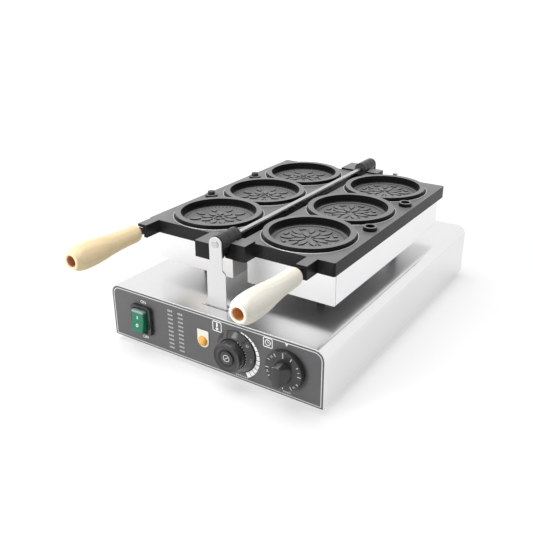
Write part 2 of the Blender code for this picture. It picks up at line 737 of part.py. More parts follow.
def heater_cover(name, side, material, carrier):
    """Open pan of steel sheet under a plate."""
    low_x, high_x = sorted((side * COVER_INNER_X, side * COVER_OUTER_X))
    size = Vector((high_x - low_x, 2 * COVER_END_Y, COVER_HEIGHT))

    def fill(shape):
        bmesh.ops.create_cube(shape, size=1)
        bmesh.ops.scale(shape, vec=size, verts=shape.verts)
        top = [face for face in shape.faces if face.normal.z > 0.5]
        bmesh.ops.delete(shape, geom=top, context="FACES_ONLY")

    pan = add_mesh(name, fill)
    pan.location = ((low_x + high_x) / 2, 0, COVER_BOTTOM_Z + COVER_HEIGHT / 2)
    soften(pan, COVER_CORNER_RADIUS, PAN_BEVEL_SEGMENTS)
    thicken(pan, COVER_SHEET)
    for place, (x, y) in cover_bolt_places(side).items():
        hole = bar("%s_%s_hole" % (name, place), COVER_BOLT_RADIUS + FIT_GAP,
                   (x, y, COVER_BOTTOM_Z - CUT_OVERRUN), (x, y, COVER_BOTTOM_Z + CUT_OVERRUN + COVER_SHEET),
                   SMALL_SIDES)
        cut(pan, hole)
    gland_hole = bar(name + "_gland_hole", GLAND_NECK_RADIUS + FIT_GAP,
                     (side * GLAND_AXIS_X, COVER_END_Y + CUT_OVERRUN, GLAND_Z),
                     (side * GLAND_AXIS_X, COVER_END_Y - COVER_SHEET - CUT_OVERRUN, GLAND_Z), SMALL_SIDES)
    cut(pan, gland_hole)
    return part(pan, material, carrier)


def thicken(obj, thickness):
    """Give an open surface a thickness on its inner side."""
    solidify = obj.modifiers.new("sheet", "SOLIDIFY")
    solidify.thickness = thickness
    solidify.offset = -1
    solidify.use_even_offset = True


def cover_bolt_places(side):
    """Places of a heater cover's bolts, seen from above."""
    x = side * CAVITY_ROW_X
    return {"front": (x, -CAVITY_PITCH / 2), "rear": (x, CAVITY_PITCH / 2)}


def cover_bolts(word, side, material, carrier):
    """Bolts that hang a heater cover from its plate."""
    tip = PLATE_BOTTOM_Z + COVER_BOLT_DEPTH
    head_top = COVER_BOTTOM_Z - FIT_GAP
    head_bottom = head_top - COVER_BOLT_HEAD_LENGTH
    profile = [(0, tip), (COVER_BOLT_RADIUS, tip), (COVER_BOLT_RADIUS, head_top)]
    profile += [(COVER_BOLT_HEAD_RADIUS, head_top), (COVER_BOLT_HEAD_RADIUS, head_bottom), (0, head_bottom)]
    for place, (x, y) in cover_bolt_places(side).items():
        name = "%s_%s_cover_bolt" % (place, word)
        part(turned(name, profile, (x, y, 0), (0, 0, 1), SCREW_SIDES), material, carrier)


def heater(name, side, material, carrier):
    """U-shaped heating tube under the cavities."""
    x = side * CAVITY_ROW_X
    run_end = COVER_END_Y - HEATER_END_MARGIN
    turn_y = HEATER_HALF_SPACING - run_end
    points = [(x - HEATER_HALF_SPACING, run_end, HEATER_Z), (x - HEATER_HALF_SPACING, 0, HEATER_Z)]
    turn = arc((x, turn_y), HEATER_HALF_SPACING, 180, 360, 2 * ARC_STEPS)
    points += [(across, along, HEATER_Z) for across, along in turn]
    points += [(x + HEATER_HALF_SPACING, 0, HEATER_Z), (x + HEATER_HALF_SPACING, run_end, HEATER_Z)]
    part(tube(name, points, HEATER_RADIUS), material, carrier)


def insulation(name, side, material, carrier):
    """Fibre block between a heating tube and the bottom of its cover."""
    top = HEATER_Z - HEATER_RADIUS - FIT_GAP
    low_x, high_x = sorted((side * (COVER_INNER_X + COVER_SHEET + INSULATION_SIDE_GAP),
                            side * (COVER_OUTER_X - COVER_SHEET - INSULATION_SIDE_GAP)))
    end_y = COVER_END_Y - COVER_SHEET - GLAND_NUT_LENGTH - INSULATION_SIDE_GAP
    loops = [rounded_rectangle((low_x, -end_y), (high_x, end_y), COVER_CORNER_RADIUS)]
    loops += [circle(place, COVER_BOLT_RADIUS + INSULATION_GAP, SMALL_SIDES)
              for place in cover_bolt_places(side).values()]
    pad = slab(name, loops, "XY", COVER_BOTTOM_Z + COVER_SHEET + FIT_GAP, top)
    part(pad, material, carrier)


def handle(name, side, wood, steel, carrier):
    """Turned wooden handle on a steel stud with a nut in its end bore."""
    x = stud_x(side)
    outer = [(HANDLE_RADIUS * radius_share, HANDLE_LENGTH * length_share)
             for length_share, radius_share in HANDLE_SHAPE_SHARES]
    hole = STUD_RADIUS + FIT_GAP
    bore_floor = HANDLE_LENGTH - HANDLE_BORE_DEPTH
    profile = list(reversed(outer))
    profile += [(hole, 0), (hole, bore_floor), (HANDLE_BORE_RADIUS, bore_floor)]
    profile += [(HANDLE_BORE_RADIUS, HANDLE_LENGTH)]
    grip = turned(name, profile, (x, -HANDLE_PLATE_END_Y, STUD_Z), (0, -1, 0), SMALL_SIDES, ring=True)
    part(grip, wood, carrier)
    nut_start = HANDLE_PLATE_END_Y + bore_floor + FIT_GAP
    nut_end = nut_start + STUD_NUT_LENGTH
    collar_end = HANDLE_PLATE_END_Y - FIT_GAP
    collar_start = collar_end - STUD_COLLAR_LENGTH
    foot = STUD_WELL_Y + FIT_GAP
    stud_profile = [(0, nut_end + STUD_TIP), (STUD_RADIUS, nut_end + STUD_TIP), (STUD_RADIUS, nut_end)]
    stud_profile += [(STUD_NUT_RADIUS, nut_end), (STUD_NUT_RADIUS, nut_start), (STUD_RADIUS, nut_start)]
    stud_profile += [(STUD_RADIUS, collar_end), (STUD_COLLAR_RADIUS, collar_end)]
    stud_profile += [(STUD_COLLAR_RADIUS, collar_start), (STUD_RADIUS, collar_start)]
    stud_profile += [(STUD_RADIUS, foot), (0, foot)]
    stud = turned(name + "_stud", stud_profile, (x, 0, STUD_Z), (0, -1, 0), SMALL_SIDES)
    part(stud, steel, carrier)


def gland(name, x, wall_y, wall_sheet, z, material, carrier):
    """Cable gland through a sheet that faces +Y: hex outside, nut inside, bored through."""
    outside = wall_y + FIT_GAP
    inside = wall_y - wall_sheet - FIT_GAP
    body = bar(name, GLAND_NECK_RADIUS, (x, inside - GLAND_NUT_LENGTH, z),
               (x, outside + GLAND_LENGTH - FIT_GAP, z), SMALL_SIDES)
    collar_end = outside + GLAND_LENGTH * GLAND_COLLAR_SHARE
    nut_end = inside - GLAND_NUT_LENGTH * GLAND_NUT_SHARE
    collar = bar(name + "_collar", GLAND_RADIUS, (x, outside, z), (x, collar_end, z), HEX_SIDES)
    nut = bar(name + "_nut", GLAND_RADIUS, (x, nut_end, z), (x, inside, z), HEX_SIDES)
    bore = bar(name + "_bore", GLAND_BORE_RADIUS, (x, inside - GLAND_NUT_LENGTH - CUT_OVERRUN, z),
               (x, outside + GLAND_LENGTH + CUT_OVERRUN, z), SMALL_SIDES)
    join(body, collar, nut)
    cut(body, bore)
    part(body, material, carrier)


def sensor_gland(material, carrier):
    """Thermostat bulb in the right plate's rear edge, with its elbow fitting."""
    nut_start = PLATE_END_Y + FIT_GAP
    elbow_y = nut_start + SENSOR_NUT_LENGTH + SENSOR_NECK_LENGTH + SENSOR_ELBOW_RADIUS
    bulb = bar("sensor_gland", SENSOR_BULB_RADIUS, (SENSOR_X, PLATE_END_Y - SENSOR_BULB_LENGTH, SENSOR_Z),
               (SENSOR_X, elbow_y, SENSOR_Z), SMALL_SIDES)
    nut = bar("sensor_nut", SENSOR_NUT_RADIUS, (SENSOR_X, nut_start, SENSOR_Z),
              (SENSOR_X, nut_start + SENSOR_NUT_LENGTH, SENSOR_Z), HEX_SIDES)
    elbow = bar("sensor_elbow", SENSOR_ELBOW_RADIUS, (SENSOR_X, elbow_y, SENSOR_Z - SENSOR_ELBOW_RADIUS),
                (SENSOR_X, elbow_y, PLATE_TOP_Z + SENSOR_ELBOW_RISE), SMALL_SIDES)
    join(bulb, nut, elbow)
    part(bulb, material, carrier)


def base_shell(material):
    """Bent sheet housing with a top and two sides, open at its ends and below."""
    half = BASE_HALF_WIDTH
    radius = BASE_CORNER_RADIUS
    profile = [(half, BASE_BOTTOM_Z)]
    profile += arc((half - radius, BASE_TOP_Z - radius), radius, 0, 90, ARC_STEPS)
    profile += arc((radius - half, BASE_TOP_Z - radius), radius, 90, 180, ARC_STEPS)
    profile += [(-half, BASE_BOTTOM_Z)]

    def fill(shape):
        front = [shape.verts.new((x, -BASE_HALF_DEPTH, z)) for x, z in profile]
        rear = [shape.verts.new((x, BASE_HALF_DEPTH, z)) for x, z in profile]
        for index in range(len(profile) - 1):
            shape.faces.new((front[index], rear[index], rear[index + 1], front[index + 1]))
        bmesh.ops.recalc_face_normals(shape, faces=shape.faces)
        if sum(face.normal.z for face in shape.faces) < 0:
            bmesh.ops.reverse_faces(shape, faces=shape.faces)

    shell = add_mesh("base_shell", fill)
    thicken(shell, BASE_SHEET)
    low_z = BASE_TOP_Z - BASE_SHEET - CUT_OVERRUN
    high_z = BASE_TOP_Z + CUT_OVERRUN
    half_slot = BRACKET_FOOT_WIDTH / 2 + FIT_GAP
    for end in (-1, 1):
        low_y, high_y = sorted((end * (BRACKET_Y - FIT_GAP), end * (BRACKET_OUTER_Y + FIT_GAP)))
        cut(shell, box("slot", (-half_slot, low_y, low_z), (half_slot, high_y, high_z)))
        for x in (-half_slot, half_slot):
            relief = bar("slot_relief", BRACKET_SHEET, (x, end * (BRACKET_Y + BRACKET_OUTER_Y) / 2, low_z),
                         (x, end * (BRACKET_Y + BRACKET_OUTER_Y) / 2, high_z), SMALL_SIDES)
            cut(shell, relief)
    for x, y in bracket_screw_places().values():
        cut(shell, bar("screw_hole", SCREW_RADIUS + FIT_GAP, (x, y, low_z), (x, y, high_z), SMALL_SIDES))
    for x, y in rest_places().values():
        cut(shell, bar("rest_hole", REST_STEM_RADIUS + FIT_GAP, (x, y, low_z), (x, y, high_z), SMALL_SIDES))
    for x in (-GLAND_AXIS_X, GLAND_AXIS_X):
        hole = bar("grommet_hole", GROMMET_RADIUS - GROMMET_LIP + FIT_GAP, (x, grommet_y(), low_z),
                   (x, grommet_y(), high_z), SMALL_SIDES)
        cut(shell, hole)
    part(shell, material)


def four_corners(x, y):
    """Places at four corners about the middle, by name."""
    return {"front_left": (-x, -y), "front_right": (x, -y), "rear_left": (-x, y), "rear_right": (x, y)}


def bracket_screw_places():
    """Places, seen from above, of the screws through the brackets' flanges."""
    return four_corners(BRACKET_SCREW_SPACING / 2, BRACKET_Y - BRACKET_FLANGE_DEPTH / 2)


def rest_places():
    """Places, seen from above, of the posts that the heater covers rest on."""
    return four_corners(REST_X, REST_Y)


def grommet_y():
    """Place along the base of the grommets that take the heater leads."""
    return BRACKET_Y - GROMMET_INSET


def bracket(name, end, material):
    """Sheet post that stands in a slot of the base and holds one end of the rod."""
    top_radius = BRACKET_NECK_WIDTH / 2
    neck = top_radius
    foot = BRACKET_FOOT_WIDTH / 2
    shoulder_top = HINGE_Z - BRACKET_SHOULDER_DROP
    shoulder = shoulder_top - BRACKET_SHOULDER_HEIGHT
    flange_top = BASE_TOP_Z - BASE_SHEET - FIT_GAP
    bottom = flange_top - BRACKET_SHEET / 2
    right = [(foot, bottom), (foot, shoulder), (neck, shoulder_top)]
    outline = right + arc((0, HINGE_Z), top_radius, 0, 180, ROUND_SIDES // 2)
    outline += [(-x, z) for x, z in reversed(right)]
    hole = circle((0, HINGE_Z), ROD_DIAMETER / 2 + FIT_GAP, SMALL_SIDES)
    post = slab(name, [outline, hole], "XZ", end * BRACKET_Y, end * BRACKET_OUTER_Y)
    low_y, high_y = sorted((end * (BRACKET_Y - BRACKET_FLANGE_DEPTH), end * (BRACKET_Y + BRACKET_SHEET / 2)))
    flange = box(name + "_flange", (-foot + FIT_GAP, low_y, flange_top - BRACKET_SHEET),
                 (foot - FIT_GAP, high_y, flange_top))
    join(post, flange)
    for x, y in bracket_screw_places().values():
        if y * end > 0:
            hole = bar(name + "_hole", SCREW_RADIUS + FIT_GAP,
                       (x, y, flange_top - BRACKET_SHEET - CUT_OVERRUN), (x, y, flange_top + CUT_OVERRUN),
                       SMALL_SIDES)
            cut(post, hole)
    part(post, material)


def brackets_and_rod(steel, polished):
    """Both brackets, their screws and the hinge rod."""
    bracket("front_bracket", -1, steel)
    bracket("rear_bracket", 1, steel)
    profile = [(0, SCREW_HEAD_LENGTH), (SCREW_HEAD_RADIUS * SCREW_CROWN_SHARE, SCREW_HEAD_LENGTH)]
    profile += [(SCREW_HEAD_RADIUS, SCREW_HEAD_LENGTH / 2), (SCREW_HEAD_RADIUS, 0)]
    profile += [(SCREW_RADIUS, 0), (SCREW_RADIUS, -SCREW_LENGTH), (0, -SCREW_LENGTH)]
    for corner, (x, y) in bracket_screw_places().items():
        seat = (x, y, BASE_TOP_Z + FIT_GAP)
        part(turned(corner + "_bracket_screw", profile, seat, (0, 0, 1), SCREW_SIDES), polished)
    head_y = BRACKET_OUTER_Y + FIT_GAP
    end_y = head_y + ROD_HEAD_LENGTH
    rod_radius = ROD_DIAMETER / 2
    profile = [(0, end_y), (ROD_HEAD_RADIUS * ROD_CROWN_SHARE, end_y), (ROD_HEAD_RADIUS, head_y)]
    profile += [(rod_radius, head_y)]
    profile += [(radius, -y) for radius, y in reversed(profile)]
    part(turned("hinge_rod", profile, (0, 0, HINGE_Z), (0, 1, 0), ROUND_SIDES), polished)


def panel_outline(inset):
    """Outline of a panel that closes one end of the housing."""
    half = BASE_HALF_WIDTH - inset
    top = BASE_TOP_Z - inset
    radius = max(BASE_CORNER_RADIUS - inset, inset)
    points = [(-half, BASE_BOTTOM_Z), (half, BASE_BOTTOM_Z)]
    points += arc((half - radius, top - radius), radius, 0, 90, ARC_STEPS)
    points += arc((radius - half, top - radius), radius, 90, 180, ARC_STEPS)
    return points


def control_holes():
    """Holes that the switch, lamp and shafts need through the front."""
    half_width = SWITCH_WIDTH / 2 - SWITCH_BODY_INSET + FIT_GAP
    half_height = SWITCH_HEIGHT / 2 - SWITCH_BODY_INSET + FIT_GAP
    switch_hole = rounded_rectangle((SWITCH_X - half_width, PANEL_MIDDLE_Z - half_height),
                                    (SWITCH_X + half_width, PANEL_MIDDLE_Z + half_height), FIT_GAP)
    lamp_hole = circle((LAMP_X, LAMP_Z), LENS_STEM_RADIUS + FIT_GAP, SMALL_SIDES)
    shaft_holes = [circle((x, PANEL_MIDDLE_Z), NECK_RADIUS + FIT_GAP, SMALL_SIDES)
                   for x in (TEMPERATURE_X, TIMER_X)]
    return [switch_hole, lamp_hole, *shaft_holes]


def panels(steel, overlay_paint):
    """Front and rear panels, the overlay, and the cover under the base."""
    outline = panel_outline(BASE_SHEET + FIT_GAP)
    loops = [outline, *control_holes()]
    part(slab("front_panel", loops, "XZ", SHEET_FRONT_Y, SHEET_BACK_Y), steel)
    part(slab("control_overlay", loops, "XZ", PANEL_FRONT_Y, OVERLAY_BACK_Y), overlay_paint)
    mains_hole = circle((MAINS_X, BASE_BOTTOM_Z + MAINS_HEIGHT), GLAND_NECK_RADIUS + FIT_GAP, SMALL_SIDES)
    rear_y = BASE_HALF_DEPTH - FIT_GAP
    loops = [outline, mains_hole, *vent_slots(0, BASE_BOTTOM_Z + MAINS_HEIGHT)]
    part(slab("rear_panel", loops, "XZ", rear_y - PANEL_SHEET, rear_y), steel)
    half_width = BASE_HALF_WIDTH - BASE_SHEET - FIT_GAP
    half_depth = min(-SHEET_BACK_Y, rear_y - PANEL_SHEET) - FIT_GAP
    loops = [rounded_rectangle((-half_width, -half_depth), (half_width, half_depth), COVER_PLATE_SHEET)]
    loops += [circle(place, FOOT_STEM_RADIUS + FIT_GAP, SMALL_SIDES) for place in foot_places().values()]
    loops += vent_slots(0, 0)
    cover_top = BASE_BOTTOM_Z + COVER_PLATE_SHEET
    part(slab("bottom_cover", loops, "XY", BASE_BOTTOM_Z, cover_top), steel)


def vent_slots(x, up):
    """Outlines of a row of round-ended slots about a place."""
    radius = VENT_WIDTH / 2
    straight = VENT_LENGTH / 2 - radius
    loops = []
    for index in range(VENT_COUNT):
        row = up + (index - (VENT_COUNT - 1) / 2) * (VENT_WIDTH + VENT_GAP)
        points = arc((x + straight, row), radius, -90, 90, ARC_STEPS)
        points += arc((x - straight, row), radius, 90, 270, ARC_STEPS)
        loops.append(points)
    return loops


def foot_places():
    """Places, seen from above, of the feet."""
    return four_corners(BASE_HALF_WIDTH - FOOT_INSET, BASE_HALF_DEPTH - FOOT_INSET)


def feet(rubber):
    """Rubber feet, pushed by their stems into the cover under the base."""
    top = BASE_BOTTOM_Z - FIT_GAP
    barb = BASE_BOTTOM_Z + COVER_PLATE_SHEET + FIT_GAP
    tip = barb + FOOT_BARB_LENGTH
    profile = [(0, tip), (FOOT_STEM_RADIUS, tip), (FOOT_BARB_RADIUS, barb), (FOOT_STEM_RADIUS, barb)]
    profile += [(FOOT_STEM_RADIUS, top), (FOOT_RADIUS, top), (FOOT_RADIUS - FOOT_TAPER, 0), (0, 0)]
    for corner, (x, y) in foot_places().items():
        part(turned(corner + "_foot", profile, (x, y, 0), (0, 0, 1), SMALL_SIDES), rubber)


def rest_posts(rubber):
    """Rubber posts with stems in the base, which carry the open plates."""
    foot = BASE_TOP_Z + FIT_GAP
    top = COVER_BOTTOM_Z - FIT_GAP
    barb = BASE_TOP_Z - BASE_SHEET - FIT_GAP
    tip = barb - REST_BARB_LENGTH
    profile = [(0, top), (REST_TOP_RADIUS, top), (REST_FOOT_RADIUS, foot), (REST_STEM_RADIUS, foot)]
    profile += [(REST_STEM_RADIUS, barb), (REST_BARB_RADIUS, barb), (REST_STEM_RADIUS, tip), (0, tip)]
    for corner, (x, y) in rest_places().items():
        part(turned(corner + "_rest_post", profile, (x, y, 0), (0, 0, 1), SMALL_SIDES), rubber)


def rocker_switch(housing_plastic, rocker_plastic):
    """Switch housing in the panel, and the rocker that tilts in it."""
    half_width = SWITCH_WIDTH / 2
    half_height = SWITCH_HEIGHT / 2
    front_y = PANEL_FRONT_Y - SWITCH_RISE
    flange = rounded_rectangle((SWITCH_X - half_width, PANEL_MIDDLE_Z - half_height),
                               (SWITCH_X + half_width, PANEL_MIDDLE_Z + half_height), SWITCH_CORNER_RADIUS)
    housing = slab("switch_housing", [flange], "XZ", front_y, PANEL_FRONT_Y - FIT_GAP)
    body_half_width = half_width - SWITCH_BODY_INSET
    body_half_height = half_height - SWITCH_BODY_INSET
    body = box("switch_body", (SWITCH_X - body_half_width, PANEL_FRONT_Y - SWITCH_RISE / 2,
                               PANEL_MIDDLE_Z - body_half_height),
               (SWITCH_X + body_half_width, SHEET_BACK_Y + SWITCH_BODY_DEPTH,
                PANEL_MIDDLE_Z + body_half_height))
    well = box("switch_well", (SWITCH_X - half_width + SWITCH_SIDE_WALL, front_y - CUT_OVERRUN,
                               PANEL_MIDDLE_Z - half_height + SWITCH_END_WALL),
               (SWITCH_X + half_width - SWITCH_SIDE_WALL, PANEL_FRONT_Y + SWITCH_WELL_DEPTH,
                PANEL_MIDDLE_Z + half_height - SWITCH_END_WALL))
    pin_reach = ROCKER_WIDTH / 2 + ROCKER_SIDE_GAP + ROCKER_PIN_SEAT
    socket_reach = pin_reach + FIT_GAP
    sockets = bar("rocker_sockets", ROCKER_PIN_RADIUS + FIT_GAP,
                  (SWITCH_X - socket_reach, PANEL_FRONT_Y, PANEL_MIDDLE_Z),
                  (SWITCH_X + socket_reach, PANEL_FRONT_Y, PANEL_MIDDLE_Z), SMALL_SIDES)
    join(housing, body)
    cut(housing, well, sockets)
    part(housing, housing_plastic)

    pivot = empty("rocker_pivot", (SWITCH_X, PANEL_FRONT_Y, PANEL_MIDDLE_Z), MACHINE)
    half = ROCKER_HEIGHT / 2
    tail = half * ROCKER_TAIL_SHARE
    depth = SWITCH_WELL_DEPTH * ROCKER_TAIL_SHARE
    dish = ROCKER_RISE * ROCKER_DISH_SHARE
    outline = [(-ROCKER_RISE, half), (-dish, 0), (-ROCKER_RISE, -half), (0, -half), (depth, -tail)]
    outline += [(depth, tail), (0, half)]
    tilt = -math.radians(ROCKER_TILT_DEGREES)
    turned_outline = [(y * math.cos(tilt) - z * math.sin(tilt), y * math.sin(tilt) + z * math.cos(tilt))
                      for y, z in outline]
    placed = [(PANEL_FRONT_Y + y, PANEL_MIDDLE_Z + z) for y, z in turned_outline]
    rocker = slab("switch_rocker", [placed], "YZ", SWITCH_X - ROCKER_WIDTH / 2, SWITCH_X + ROCKER_WIDTH / 2)
    soften(rocker, KNOB_EDGE_RADIUS)
    join(rocker, bar("rocker_pins", ROCKER_PIN_RADIUS, (SWITCH_X - pin_reach, PANEL_FRONT_Y, PANEL_MIDDLE_Z),
                     (SWITCH_X + pin_reach, PANEL_FRONT_Y, PANEL_MIDDLE_Z), SMALL_SIDES))
    part(rocker, rocker_plastic, pivot)


def indicator(label_paint, lens_plastic, body_plastic):
    """Indicator lamp: label plate, domed lens and the body behind the panel."""
    half = LABEL_WIDTH / 2
    label_back = PANEL_FRONT_Y - FIT_GAP
    label_front = label_back - LABEL_SHEET
    outline = [(LAMP_X + half, LAMP_Z + LABEL_RISE), (LAMP_X - half, LAMP_Z + LABEL_RISE)]
    outline += arc((LAMP_X, LAMP_Z), half, 180, 360, 2 * ARC_STEPS)
    hole = circle((LAMP_X, LAMP_Z), LENS_STEM_RADIUS + FIT_GAP, SMALL_SIDES)
    part(slab("lamp_label", [outline, hole], "XZ", label_front, label_back), label_paint)
    seat = label_front - FIT_GAP
    stem_end = SHEET_BACK_Y + PANEL_SHEET
    profile = []
    for step in range(ARC_STEPS + 1):
        angle = math.pi / 2 * step / ARC_STEPS
        profile.append((LENS_RADIUS * math.sin(angle), LENS_HEIGHT * math.cos(angle) - seat))
    profile += [(LENS_STEM_RADIUS, -seat), (LENS_STEM_RADIUS, -stem_end), (0, -stem_end)]
    part(turned("lamp_lens", profile, (LAMP_X, 0, LAMP_Z), (0, -1, 0), SMALL_SIDES), lens_plastic)
    bore = LENS_STEM_RADIUS + FIT_GAP
    floor = -stem_end - FIT_GAP
    front = -SHEET_BACK_Y - FIT_GAP
    back = floor - LAMP_BODY_LENGTH
    profile = [(0, floor), (bore, floor), (bore, front), (LAMP_BODY_RADIUS, front), (LAMP_BODY_RADIUS, back)]
    profile += [(0, back)]
    part(turned("lamp_body", profile, (LAMP_X, 0, LAMP_Z), (0, -1, 0), SMALL_SIDES), body_plastic)


def shaft_and_body(name, x, size, depth, housing_plastic, steel, carrier):
    """Control body behind the panel, with a shaft that runs out to its knob."""
    back = SHEET_BACK_Y + FIT_GAP
    half = size / 2
    body = box(name + "_body", (x - half, back, PANEL_MIDDLE_Z - half),
               (x + half, back + depth, PANEL_MIDDLE_Z + half))
    neck = bar(name + "_neck", NECK_RADIUS, (x, back + CUT_OVERRUN, PANEL_MIDDLE_Z),
               (x, PANEL_FRONT_Y + FIT_GAP, PANEL_MIDDLE_Z), SMALL_SIDES)
    hole = bar(name + "_shaft_hole", SHAFT_RADIUS + FIT_GAP, (x, back + SHAFT_IN_BODY, PANEL_MIDDLE_Z),
               (x, PANEL_FRONT_Y - CUT_OVERRUN, PANEL_MIDDLE_Z), SMALL_SIDES)
    join(body, neck)
    cut(body, hole)
    part(body, housing_plastic)
    shaft = bar(name + "_shaft", SHAFT_RADIUS, (x, back + SHAFT_IN_BODY - FIT_GAP, PANEL_MIDDLE_Z),
                (x, PANEL_FRONT_Y - KNOB_GAP - SHAFT_IN_KNOB + FIT_GAP, PANEL_MIDDLE_Z), SMALL_SIDES)
    part(shaft, steel, carrier)


def knob_bore(name, x):
    """Cutter for the blind hole that takes a shaft."""
    start = PANEL_FRONT_Y - KNOB_GAP + CUT_OVERRUN
    return bar(name, SHAFT_RADIUS + FIT_GAP, (x, start, PANEL_MIDDLE_Z),
               (x, PANEL_FRONT_Y - KNOB_GAP - SHAFT_IN_KNOB, PANEL_MIDDLE_Z), SMALL_SIDES)


def temperature_control(knob_plastic, housing_plastic, steel):
    """Thermostat with its skirted round knob."""
    x = TEMPERATURE_X
    axis = empty("temperature_axis", (x, PANEL_FRONT_Y, PANEL_MIDDLE_Z), MACHINE)
    front = KNOB_GAP + TEMPERATURE_LENGTH
    skirt = KNOB_GAP + TEMPERATURE_SKIRT_LENGTH
    floor = front - TEMPERATURE_DISH_DEPTH
    profile = [(0, floor), (TEMPERATURE_DISH_RADIUS - TEMPERATURE_DISH_DEPTH, floor)]
    profile += [(TEMPERATURE_DISH_RADIUS, front), (TEMPERATURE_GRIP_RADIUS - KNOB_EDGE_RADIUS, front)]
    profile += [(TEMPERATURE_GRIP_RADIUS, front - KNOB_EDGE_RADIUS), (TEMPERATURE_GRIP_RADIUS, skirt)]
    profile += [(TEMPERATURE_SKIRT_FRONT_RADIUS, skirt), (TEMPERATURE_SKIRT_RADIUS, KNOB_GAP), (0, KNOB_GAP)]
    knob = turned("temperature_knob", profile, (x, PANEL_FRONT_Y, PANEL_MIDDLE_Z), (0, -1, 0), ROUND_SIDES)
    cut(knob, knob_bore("temperature_bore", x))
    part(knob, knob_plastic, axis)
    shaft_and_body("thermostat", x, THERMOSTAT_SIZE, THERMOSTAT_DEPTH, housing_plastic, steel, axis)


def oval(centre, width, length, power):
    """Points round an oval; a power under 1 fills out its corners."""
    points = []
    for across, up in circle((0, 0), 1, ROUND_SIDES):
        wide = math.copysign(abs(across) ** power, across) * width / 2
        tall = math.copysign(abs(up) ** power, up) * length / 2
        points.append((centre[0] + wide, centre[1] + tall))
    return points


def timer_grip(x):
    """Bar grip that narrows from a broad round foot, sunk in the skirt, to its front."""
    foot_y = PANEL_FRONT_Y - KNOB_GAP - TIMER_SKIRT_LENGTH / 2
    front_y = PANEL_FRONT_Y - KNOB_GAP - TIMER_LENGTH
    centre = (x, PANEL_MIDDLE_Z)
    foot = oval(centre, TIMER_GRIP_FOOT_WIDTH, TIMER_GRIP_FOOT_LENGTH, 1)
    front = oval(centre, TIMER_GRIP_FRONT_WIDTH, TIMER_GRIP_FRONT_LENGTH, TIMER_GRIP_CORNER_POWER)

    def fill(shape):
        near = [shape.verts.new((across, foot_y, up)) for across, up in foot]
        far = [shape.verts.new((across, front_y, up)) for across, up in front]
        for index in range(len(near)):
            after = (index + 1) % len(near)
            shape.faces.new((near[index], near[after], far[index]))
            shape.faces.new((near[after], far[after], far[index]))
        shape.faces.new(near)
        shape.faces.new(far)
        bmesh.ops.recalc_face_normals(shape, faces=shape.faces)

    return add_mesh("timer_grip", fill)


def timer_control(knob_plastic, housing_plastic, steel):
    """Timer with its bar knob."""
    x = TIMER_X
    axis = empty("timer_axis", (x, PANEL_FRONT_Y, PANEL_MIDDLE_Z), MACHINE)
    skirt = KNOB_GAP + TIMER_SKIRT_LENGTH
    profile = [(0, skirt), (TIMER_SKIRT_FRONT_RADIUS, skirt), (TIMER_SKIRT_RADIUS, KNOB_GAP), (0, KNOB_GAP)]
    knob = turned("timer_knob", profile, (x, PANEL_FRONT_Y, PANEL_MIDDLE_Z), (0, -1, 0), ROUND_SIDES)
    join(knob, timer_grip(x))
    cut(knob, knob_bore("timer_bore", x))
    part(knob, knob_plastic, axis)
    shaft_and_body("timer", x, TIMER_BODY_SIZE, TIMER_BODY_DEPTH, housing_plastic, steel, axis)


def wiring(ceramic, gland_plastic, rubber):
    """Terminal block, mains gland and the grommets for the heater leads."""
    rear = BASE_HALF_DEPTH - TERMINAL_INSET
    floor = BASE_BOTTOM_Z + COVER_PLATE_SHEET + FIT_GAP
    half = TERMINAL_LENGTH / 2
    block = box("terminal_block", (MAINS_X - half, rear - TERMINAL_WIDTH, floor),
                (MAINS_X + half, rear, floor + TERMINAL_HEIGHT))
    for index in range(TERMINAL_POCKETS):
        x = MAINS_X + TERMINAL_LENGTH * ((index + 0.5) / TERMINAL_POCKETS - 0.5)
        pocket = bar("terminal_pocket", TERMINAL_POCKET_RADIUS,
                     (x, rear - TERMINAL_WIDTH / 2, floor + TERMINAL_HEIGHT - TERMINAL_POCKET_DEPTH),
                     (x, rear - TERMINAL_WIDTH / 2, floor + TERMINAL_HEIGHT + CUT_OVERRUN), SMALL_SIDES)
        cut(block, pocket)
    part(block, ceramic)
    gland("mains_gland", MAINS_X, BASE_HALF_DEPTH - FIT_GAP, PANEL_SHEET, BASE_BOTTOM_Z + MAINS_HEIGHT,
          gland_plastic, None)
    neck = GROMMET_RADIUS - GROMMET_LIP
    upper = BASE_TOP_Z + FIT_GAP
    lower = BASE_TOP_Z - BASE_SHEET - FIT_GAP
    profile = [(GROMMET_RADIUS, upper + GROMMET_LIP), (GROMMET_RADIUS, upper), (neck, upper), (neck, lower)]
    profile += [(GROMMET_RADIUS, lower), (GROMMET_RADIUS, lower - GROMMET_LIP)]
    profile += [(GROMMET_BORE_RADIUS, lower - GROMMET_LIP), (GROMMET_BORE_RADIUS, upper + GROMMET_LIP)]
    for word, x in (("left", -GLAND_AXIS_X), ("right", GLAND_AXIS_X)):
        name = word + "_lead_grommet"
        part(turned(name, profile, (x, grommet_y(), 0), (0, 0, 1), SMALL_SIDES, ring=True), rubber)


